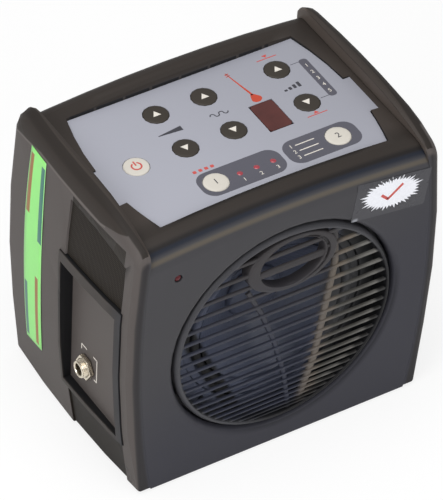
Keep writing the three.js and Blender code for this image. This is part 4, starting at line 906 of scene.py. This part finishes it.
# Speaker
def grille_bar(x0, z0, x1, z1, height, front):
    """A straight bar with a rounded face between two places, measured from the axis."""
    length = math.hypot(x1 - x0, z1 - z0)
    shape = bmesh.new()
    bmesh.ops.create_cube(shape, size=1)
    bmesh.ops.scale(shape, vec=(length, SLAT_DEPTH, height), verts=shape.verts)
    face = [edge for edge in shape.edges if all(vert.co.y < 0 for vert in edge.verts)
            and abs(edge.verts[0].co.x - edge.verts[1].co.x) > length / 2]
    bmesh.ops.bevel(
        shape, geom=face, offset=height * SLAT_ROUND, affect="EDGES", segments=4, profile=0.5, material=-1,
    )
    middle = ((x0 + x1) / 2, front + SLAT_DEPTH / 2, AXIS_HEIGHT + (z0 + z1) / 2)
    return moved(shape, middle, Matrix.Rotation(-math.atan2(z1 - z0, x1 - x0), 3, "Y"))


def oval_half_width(z, half_wide, half_high):
    share = (z - OVAL_Z) / half_high
    return half_wide * math.sqrt(1 - share ** 2) if abs(share) < 1 else 0.0


def grille_slats():
    """Slats whose pitch shrinks towards the floor, parted where the oval window is."""
    bars = []
    z, pitch = LOWEST_SLAT, LEAST_PITCH
    for _ in range(SLAT_COUNT):
        height = max(LEAST_SLAT, pitch * SLAT_SHARE)
        half = math.sqrt(SLAT_SEAT ** 2 - z ** 2)
        hole = oval_half_width(z, *OVAL_HOLE)
        spans = [(-half, half)]
        if hole > 0:
            spans = [(-half, OVAL_X - hole - SLAT_GAP), (OVAL_X + hole + SLAT_GAP, half)]
        bars += [grille_bar(start, z, end, z, height, SLAT_FRONT) for start, end in spans]
        z += pitch
        pitch += PITCH_GROWTH
    return bars


def oval_ring():
    """Broad rounded ring round the upper window, with a groove along its right-hand side."""
    front = SLAT_FRONT - 0.5
    back = SLAT_FRONT + 5.5
    groove = (0.2, 0.36)
    levels = [(0.0, back), (0.0, front + 0.9), (0.03, front + 0.3), (0.08, front), (0.15, front),
              (groove[0], front + 0.02), (groove[1], front + 0.02), (0.42, front), (0.78, front),
              (0.9, front + 0.12), (0.97, front + 0.5), (1.0, front + 1.1), (1.0, back)]
    shape = bmesh.new()
    points = [shape.verts.new((OVAL_REACH + share, level, 0)) for share, level in levels]
    edges = [shape.edges.new(pair) for pair in zip(points, points[1:] + points[:1])]
    bmesh.ops.spin(
        shape, geom=points + edges, cent=(0, 0, 0), axis=(0, 1, 0), angle=math.tau, steps=128, use_merge=True,
    )
    bmesh.ops.remove_doubles(shape, verts=shape.verts, dist=0.0001)
    for vert in shape.verts:
        reach = math.hypot(vert.co.x, vert.co.z)
        share = reach - OVAL_REACH
        across, up = vert.co.x / reach, vert.co.z / reach
        x = OVAL_X + across * (OVAL_HOLE[0] + (OVAL_OUTER[0] - OVAL_HOLE[0]) * share)
        z = OVAL_Z + up * (OVAL_HOLE[1] + (OVAL_OUTER[1] - OVAL_HOLE[1]) * share)
        within = min(1.0, (SLAT_SEAT - 0.4 + share) / math.hypot(x, z))
        sunk = 0.0
        if groove[0] - 0.01 < share < groove[1] + 0.01:
            sunk = 1.2 * min(max(across * 1.6 - 0.4, 0.0), 1.0)
        vert.co = Vector((x * within, vert.co.y + sunk, AXIS_HEIGHT + z * within))
    bmesh.ops.recalc_face_normals(shape, faces=shape.faces)
    return shape


def grille_pieces():
    front, back = RING_FRONT, RING_BACK
    ring = turned([
        (RING_INNER, front + 0.7), (RING_INNER + 0.1, front + 0.28), (RING_INNER + 0.35, front + 0.06),
        (RING_INNER + 0.6, front), (RING_INNER + 1.0, front), (RING_INNER + 1.25, front + 0.08),
        (RING_OUTER - 0.35, front + 1.5), (RING_OUTER - 0.08, front + 2.0), (RING_OUTER, front + 2.5),
        (RING_OUTER, back - 2), (FLANGE_RADIUS, back - 2), (FLANGE_RADIUS, back), (RING_INNER, back),
        (RING_INNER, front + 0.7),
    ], (0, 1, 0), (0, 0, AXIS_HEIGHT), 160)
    bars = grille_slats()
    for places, width in RIBS:
        for start, end in zip(places, places[1:]):
            bars.append(grille_bar(*start, *end, width, SLAT_FRONT + SLAT_DEPTH / 2))
    for z, height in OVAL_BARS:
        half = oval_half_width(z, *OVAL_HOLE) + OVAL_BAR_OVERLAP
        bars.append(grille_bar(OVAL_X - half, z, OVAL_X + half, z, height, SLAT_FRONT))
    stand_in("speaker_grille", "web", joined([ring, oval_ring(), *bars]), 42)


def roll_arc(radius, start, end, steps=14):
    """Half round section of the surround's roll."""
    angles = [start + (end - start) * i / steps for i in range(steps + 1)]
    return [(ROLL_CENTRE + radius * math.cos(a), SURROUND_BACK - radius * math.sin(a)) for a in angles]


def driver_pieces():
    axis, centre = (0, 1, 0), (0, 0, AXIS_HEIGHT)
    cone = turned([(radius, CONE_FRONT + back) for radius, back in CONE_PROFILE], axis, centre, 128)
    stand_in("speaker_cone", "paper", cone, 40)
    quarter = [i * math.pi / 32 for i in range(17)]
    cap = [(CAP_RADIUS * math.sin(a), CAP_FRONT - CAP_RISE * math.cos(a)) for a in quarter]
    dome = turned(cap + CAP_BACK, axis, centre, 96)
    stand_in("dust_cap", "dome", dome, 40)
    profile = roll_arc(ROLL_INNER, 0, math.pi) + roll_arc(ROLL_OUTER, math.pi, 0)[:-1]
    profile += [(ROLL_CENTRE + ROLL_OUTER, CONE_FRONT), (SURROUND_RADIUS, CONE_FRONT)]
    profile += [(SURROUND_RADIUS, SURROUND_BACK), profile[0]]
    surround = turned(profile, axis, centre, 128)
    stand_in("speaker_surround", "roll", surround, 50)
    baffle = turned([
        (BAFFLE_HOLE, BAFFLE_FRONT + BAFFLE_CHAMFER), (BAFFLE_HOLE + BAFFLE_CHAMFER, BAFFLE_FRONT),
        (FLANGE_RADIUS, BAFFLE_FRONT), (FLANGE_RADIUS, SURROUND_BACK), (BAFFLE_HOLE, SURROUND_BACK),
        (BAFFLE_HOLE, BAFFLE_FRONT + BAFFLE_CHAMFER),
    ], axis, centre, 128)
    stand_in("speaker_baffle", "ring", baffle, 40)
    for node in ("speaker_basket", "spider", "speaker_magnet"):
        skin_of(node)


# Keypad
def key_pieces():
    for name, (x, y) in KEYS.items():
        profile = [(radius, KEY_TOP - drop) for radius, drop in KEY_DOME] + [
            (KEY_RADIUS, FLANGE_TOP), (KEY_FLANGE, FLANGE_TOP), (KEY_FLANGE, FLANGE_FOOT),
            (STEM_RADIUS, FLANGE_FOOT), (STEM_RADIUS, STEM_FOOT), (0, STEM_FOOT),
        ]
        stand_in(name, "cap", turned(profile, (0, 0, 1), (x, y, 0), 64), 35)
        if name in PALE_KEYS:
            continue
        way = 1 if "_up_" in name else -1
        foot = y - way * ARROW_FOOT
        arrow = [(x - ARROW_HALF, foot), (x + ARROW_HALF, foot), (x, y + way * ARROW_TIP)]
        mark = cut_out(arrow, MARK_LEVEL, MARK_THICKNESS)
        finished(name + "_arrow", mark, "pale_ink", BODY_OF[name], 30)
    x, y = KEYS["power_key"]
    ring = arc_strip(x, y + SYMBOL_Y, SYMBOL_RADIUS, SYMBOL_WIDTH, *SYMBOL_ARC, MARK_LEVEL, MARK_THICKNESS)
    bar = stroke(x, y + SYMBOL_BAR[0], x, y + SYMBOL_BAR[1], SYMBOL_WIDTH, MARK_LEVEL, MARK_THICKNESS)
    finished("power_key_symbol", joined([ring, bar]), "red_ink", BODY_OF["power_key"], 30)
    for name, text in (("string_key", "1"), ("mode_key", "2")):
        mark = digit(text, *KEYS[name], KEY_DIGIT, MARK_LEVEL, MARK_THICKNESS)
        finished(name + "_digit", mark, "dark_ink", BODY_OF[name], 30)


def lens(place, axis, top, way, depth):
    """A domed lamp lens from its top down, or back, to its foot."""
    outline = [*LAMP_DOME, (LAMP_DOME[-1][0], depth), (0, depth)]
    return turned([(radius, top + way * drop) for radius, drop in outline], axis, place, 40)


def lamp_pieces():
    for i, (x, y) in enumerate(LAMP_PLACES, 1):
        shape = lens((x, y, 0), (0, 0, 1), STRING_LAMP_TOP, -1, STRING_LAMP_DEPTH)
        stand_in(f"string_lamp_{i}", "lens", shape, 45)
    shape = lens((POWER_LAMP_X, 0, POWER_LAMP_Z), (0, 1, 0), POWER_LAMP_FRONT, 1, POWER_LAMP_DEPTH)
    stand_in("power_lamp", "lens", shape, 45)


def panel_half(x0, x1, far, key_x):
    """Half of a printed panel, from the middle of its key out to a far edge, cut back round the key."""
    side = 1 if far > ROW_LOW else -1
    corner = [(1 - math.cos(i * math.pi / 16), 1 - math.sin(i * math.pi / 16)) for i in range(9)]
    outline = [(x0 + PANEL_CORNER * u, far - side * PANEL_CORNER * v) for u, v in corner]
    outline += [(x1 - PANEL_CORNER * v, far - side * PANEL_CORNER * u) for u, v in corner]
    outline.append((x1, ROW_LOW))
    for a in (i * math.pi / 32 for i in range(33)):
        outline.append((key_x + KEY_OPENING * math.cos(a), ROW_LOW + side * KEY_OPENING * math.sin(a)))
    outline.append((x0, ROW_LOW))
    return cut_out(outline)


def pad_print():
    panels = [panel_half(x0, x1, far, key_x) for x0, x1, key_x in PANELS for far in PANEL_EDGES]
    finished("pad_print_pills", joined([*panels, rounded_box(*SCALE_BOX, SCALE_CORNER)]), "pill_ink")
    finished("pad_print_lines", joined([stroke(*line, LEADER_WIDTH) for line in LEADERS]), "pill_ink")
    waves = [arc_strip(*wave, segments=14) for wave in WAVES]
    stairs = [rounded_box(*box, SMALL_CORNER, segments=2) for box in STAIRS]
    finished("pad_print_marks", joined([cut_out(WEDGE), *waves, *stairs]), "dark_ink")
    red = []
    for y, foot, tip in PITCH_LINES:
        red.append(stroke(PITCH_X - PITCH_LINE_HALF, y, PITCH_X + PITCH_LINE_HALF, y, THIN_LINE))
        ends = [(PITCH_X - PITCH_ARROW_HALF, y + foot), (PITCH_X + PITCH_ARROW_HALF, y + foot)]
        red.append(cut_out([*ends, (PITCH_X, y + tip)]))
    red += [rounded_box(*box, SMALL_CORNER, segments=2) for box in DOTS]
    finished("pad_print_red", joined(red), "red_ink")
    pale = [digit(str(i), x, y - DIGIT_DROP) for i, (x, y) in enumerate(LAMP_PLACES, 1)]
    for i, y in enumerate(MENU_ROWS, 1):
        pale.append(digit(str(i), MENU_X, y))
        pale.append(stroke(MENU_LINE[0], y, MENU_LINE[1], y, MENU_WIDTH, OVER_LEVEL))
    pale += [digit(str(5 - i), x, y) for i, (x, y) in enumerate(SCALE_PLACES)]
    finished("pad_print_pale", joined(pale), "pale_ink")


def instrument_print():
    """A plain long-necked string instrument, printed above the display."""
    body = bmesh.new()
    bmesh.ops.create_circle(body, cap_ends=True, segments=48, radius=1)
    for vert in body.verts:
        vert.co.x *= GOURD_HALF * (1 - GOURD_TAPER * max(vert.co.y, 0) ** 0.8)
        vert.co.y *= GOURD_TOP if vert.co.y > 0 else GOURD_FOOT
    moved(body, (*GOURD_PLACE, PRINT_LEVEL - PRINT_THICKNESS), Matrix.Rotation(GOURD_TURN, 3, "Z"))
    thicken(body, list(body.faces), PRINT_THICKNESS)
    pegs = [stroke(NECK_PEG_X[0], y, NECK_PEG_X[1], y + 0.5, THIN_LINE) for y in NECK_PEG_YS]
    finished("pad_print_instrument", joined([body, cut_out(NECK), *pegs]), "orange_ink")


def display_piece():
    shape = rounded_box(*DISPLAY_BOX, DISPLAY_CORNER, DISPLAY_TOP, DISPLAY_THICKNESS)
    stand_in("display_window", "pane", shape, 30)


def window_slots():
    """A black strip of painted shade along the foot of the window's back wall, where the slot is, parted by
    short pegs.
    """
    # Painted shade: a thin black strip where the slot lies in shade
    slot = rounded_box(*SLOT_BOX, SLOT_CORNER, 0, SLOT_THICKNESS, 3)
    finished("window_slot_shade", stood_up(slot, SLOT_Y), "black_plastic")
    pegs = []
    for x in PEG_PLACES:
        box = (x - PEG_HALF, x + PEG_HALF, PAD_LEVEL, PAD_LEVEL + PEG_HEIGHT)
        pegs.append(stood_up(rounded_box(*box, PEG_CORNER, 0, PEG_THICKNESS, 3), PEG_Y))
    finished("window_pegs", joined(pegs), "peg_plastic")


# Stickers
def on_front(shape, proud):
    """Lays a flat shape drawn in (x, z) on the front, bent back over the rolled top edge."""
    for vert in shape.verts:
        x, z, lift = vert.co
        roll_start = ROLL_START - CROWN_FALL * (x / CORNER_HALF_WIDTH) ** 2
        over = min(max(z - roll_start, 0) / FRONT_ROLL, 0.9)
        back = FRONT_ROLL * (1 - math.sqrt(1 - over ** 2))
        vert.co = Vector((x, -HALF_DEPTH + back - proud - lift, z))
    bmesh.ops.recalc_face_normals(shape, faces=shape.faces)
    return shape


def sticker_film():
    sheet = bmesh.new()
    bmesh.ops.create_grid(sheet, x_segments=16, y_segments=14, size=0.5)
    bmesh.ops.scale(sheet, vec=(*FILM_SIZE, 1), verts=sheet.verts)
    moved(sheet, (*FILM_PLACE, 0), STICKER_TURN)
    thicken(sheet, list(sheet.faces), FILM_THICKNESS)
    finished("sticker_carrier", on_front(sheet, FILM_PROUD), "carrier_film")


def sticker_star():
    """Starburst: spikes of uneven length, evenly spaced along an oval."""
    star = bmesh.new()
    bmesh.ops.create_circle(star, segments=STAR_SPIKES * 2, radius=1)
    rim = list(star.edges)
    places = oval_places(*STAR_HALF, STAR_SPIKES * 2)
    for i, (vert, (x, z)) in enumerate(zip(list(star.verts), places)):
        reach = 1 - STAR_UNEVEN * ((i * 5) % 3) if i % 2 else STAR_VALLEY
        vert.co = Vector((x * reach, z * reach, 0))
    for share in STAR_RINGS:
        inner = bmesh.ops.extrude_edge_only(star, edges=rim)["geom"]
        rim = [item for item in inner if isinstance(item, bmesh.types.BMEdge)]
        ring = [item for item in inner if isinstance(item, bmesh.types.BMVert)]
        bmesh.ops.scale(star, vec=(share, share, 1), verts=ring)
    bmesh.ops.edgeloop_fill(star, edges=rim)
    moved(star, (*STAR_PLACE, 0), STICKER_TURN)
    thicken(star, list(star.faces), STAR_THICKNESS)
    finished("sticker_star", on_front(star, STAR_PROUD), "white_ink")


def oval_places(half_wide, half_high, count):
    """Places evenly spaced along an oval."""
    angles = [i * math.tau / 2000 for i in range(2001)]
    fine = [(half_wide * math.cos(a), half_high * math.sin(a)) for a in angles]
    lengths = [0.0]
    for first, second in zip(fine, fine[1:]):
        lengths.append(lengths[-1] + math.dist(first, second))
    places = []
    at = 0
    for i in range(count):
        while lengths[at] < lengths[-1] * i / count:
            at += 1
        places.append(fine[at])
    return places


def front_sticker():
    sticker_film()
    sticker_star()
    tick = joined([stroke(*line, TICK_WIDTH, TICK_THICKNESS, TICK_THICKNESS) for line in TICK])
    finished("sticker_tick", on_front(tick, TICK_PROUD), "red_ink")


def front_half_width(z):
    return CORNER_HALF_WIDTH + math.sqrt(BOW_RADIUS ** 2 - (z - BOW_HEIGHT) ** 2) - (BOW_RADIUS - SIDE_BOW)


def half_width(y, z):
    return front_half_width(z) + PLAN_BOW * (1 - (y / HALF_DEPTH) ** 2)


def side_label():
    """Label strip that follows the bow of the left end cap."""
    shape = bmesh.new()
    bmesh.ops.create_grid(shape, x_segments=6, y_segments=48, size=0.5)
    for vert in shape.verts:
        across = 0.5 - vert.co.x
        foot = LABEL_FOOT - LABEL_FOOT_SLANT * across
        z = foot + (vert.co.y + 0.5) * (LABEL_TOP - foot)
        front_edge, rear_edge = label_edges(z, min(z - LABEL_REAR_MIDDLE, 0))
        y = front_edge + (rear_edge - front_edge) * across
        vert.co = Vector((-(half_width(y, z) + LABEL_LIFT), y, z))
    piece = finished("side_label", shape, "label_film", "case", 60)
    sheet = piece.modifiers.new("film", "SOLIDIFY")
    sheet.thickness = LABEL_THICKNESS * MM
    sheet.offset = 1


# Jack
def jack_print():
    """Pale corner marks of a plain outline printed round the jack."""
    thickness = JACK_MARK_THICKNESS
    lines = joined([stroke(*start, *end, JACK_MARK_WIDTH, thickness, thickness) for start, end in JACK_MARKS])
    moved(lines, (-TRAY_FACE, 0, 0), Matrix(((0, 0, -1), (1, 0, 0), (0, 1, 0))))
    bmesh.ops.recalc_face_normals(lines, faces=lines.faces)
    finished("tray_print_outline", lines, "pale_ink")


def jack_pieces():
    threads = [(THREAD_RADII[i % 2], THREAD_START + i * THREAD_STEP) for i in range(THREAD_COUNT)]
    bushing = turned([
        (BUSHING_RADIUS, BUSHING_BACK), (BUSHING_RADIUS, THREAD_START - 0.1), *threads, *BUSHING_TIP,
        (BUSHING_BORE, BUSHING_BACK), (BUSHING_RADIUS, BUSHING_BACK),
    ], (-1, 0, 0), (0, JACK_Y, JACK_Z), 64)
    stand_in("jack_bushing", "thread", bushing, 30)
    nut = bmesh.new()
    bmesh.ops.create_circle(nut, segments=6, radius=NUT_RADIUS)
    bmesh.ops.create_circle(nut, segments=48, radius=NUT_HOLE)
    bmesh.ops.bridge_loops(nut, edges=list(nut.edges))
    thicken(nut, list(nut.faces), NUT_HEIGHT)
    moved(nut, (-NUT_BACK, JACK_Y, JACK_Z), Matrix.Rotation(math.radians(-90), 3, "Y"))
    worn_edge(stand_in("jack_nut", "hex", nut, 30), NUT_EDGE, 2)


def paint_the_rest():
    for node, look in NODE_LOOKS.items():
        painted(frame["nodes"][node], look)


# Room, light and camera
def floor_look():
    """Pale floor, which the camera alone sees lit from within."""
    finish = Finish("floor_pale", Specular_IOR_Level=0.1)
    finish.done(FLOOR_TONE, 0.9)
    seen = finish.node("ShaderNodeLightPath", output="Is Camera Ray")
    glow = finish.node("ShaderNodeEmission", inputs={"Color": (1.0, 1.0, 1.0), "Strength": 1.0})
    surface = Reading(finish, finish.shader.outputs[0])
    mix = finish.node("ShaderNodeMixShader", inputs={0: seen * FLOOR_GLOW, 1: surface, 2: glow})
    finish.feed(finish.tree.nodes["Material Output"].inputs["Surface"], mix)
    return finish.material


def floor_sheet():
    shape = bmesh.new()
    bmesh.ops.create_grid(shape, x_segments=1, y_segments=1, size=FLOOR_SIZE)
    moved(shape, (0, 0, -FLOOR_DROP * MM))
    mesh = bpy.data.meshes.new("floor")
    shape.to_mesh(mesh)
    shape.free()
    floor = bpy.data.objects.new("floor", mesh)
    bpy.context.scene.collection.objects.link(floor)
    floor.data.materials.append(floor_look())


def soft_box(name, place, aim, size, power):
    lamp = bpy.data.lights.new(name, "AREA")
    lamp.shape = "RECTANGLE"
    lamp.size, lamp.size_y = size
    lamp.energy = power
    holder = bpy.data.objects.new(name, lamp)
    holder.location = place
    holder.rotation_euler = (Vector(aim) - Vector(place)).to_track_quat("-Z", "Y").to_euler()
    bpy.context.scene.collection.objects.link(holder)


def studio_light():
    world = bpy.data.worlds.new("studio")
    bpy.context.scene.world = world
    world.use_nodes = True
    graph = Graph(world.node_tree)
    seen = graph.node("ShaderNodeLightPath", output="Is Camera Ray")
    through = graph.node("ShaderNodeLightPath", output="Is Transmission Ray")
    ends = {"Value": seen.most(through), "To Min": AMBIENT, "To Max": 1.0}
    background = graph.tree.nodes["Background"]
    graph.feed(background.inputs["Color"], (1.0, 1.0, 1.0))
    graph.feed(background.inputs["Strength"], graph.node("ShaderNodeMapRange", inputs=ends))
    for settings in SOFT_BOXES:
        soft_box(*settings)


def photo_camera():
    azimuth, elevation, roll = (math.radians(angle) for angle in CAMERA_ANGLES)
    level = Matrix.Rotation(azimuth, 3, "Z") @ Matrix.Rotation(math.pi / 2 - elevation, 3, "X")
    turn = level @ Matrix.Rotation(roll, 3, "Z")
    place = Vector(CAMERA_AIM) + turn @ Vector(CAMERA_PLACE)
    camera = bpy.data.cameras.new("camera")
    camera.sensor_fit = "VERTICAL"
    camera.sensor_height = SENSOR_HEIGHT
    camera.lens = SENSOR_HEIGHT * FOCAL_PIXELS / IMAGE_HEIGHT
    camera.clip_end = 20
    holder = bpy.data.objects.new("camera", camera)
    holder.matrix_world = Matrix.Translation(place * MM) @ turn.to_4x4()
    bpy.context.scene.collection.objects.link(holder)
    bpy.context.scene.camera = holder


def main():
    photo_camera()
    studio_light()
    floor_sheet()
    paint_the_rest()
    case_skins()
    grille_pieces()
    driver_pieces()
    key_pieces()
    lamp_pieces()
    pad_print()
    instrument_print()
    display_piece()
    window_slots()
    front_sticker()
    side_label()
    jack_pieces()
    jack_print()
    bpy.context.scene.view_settings.view_transform = "Standard"


main()
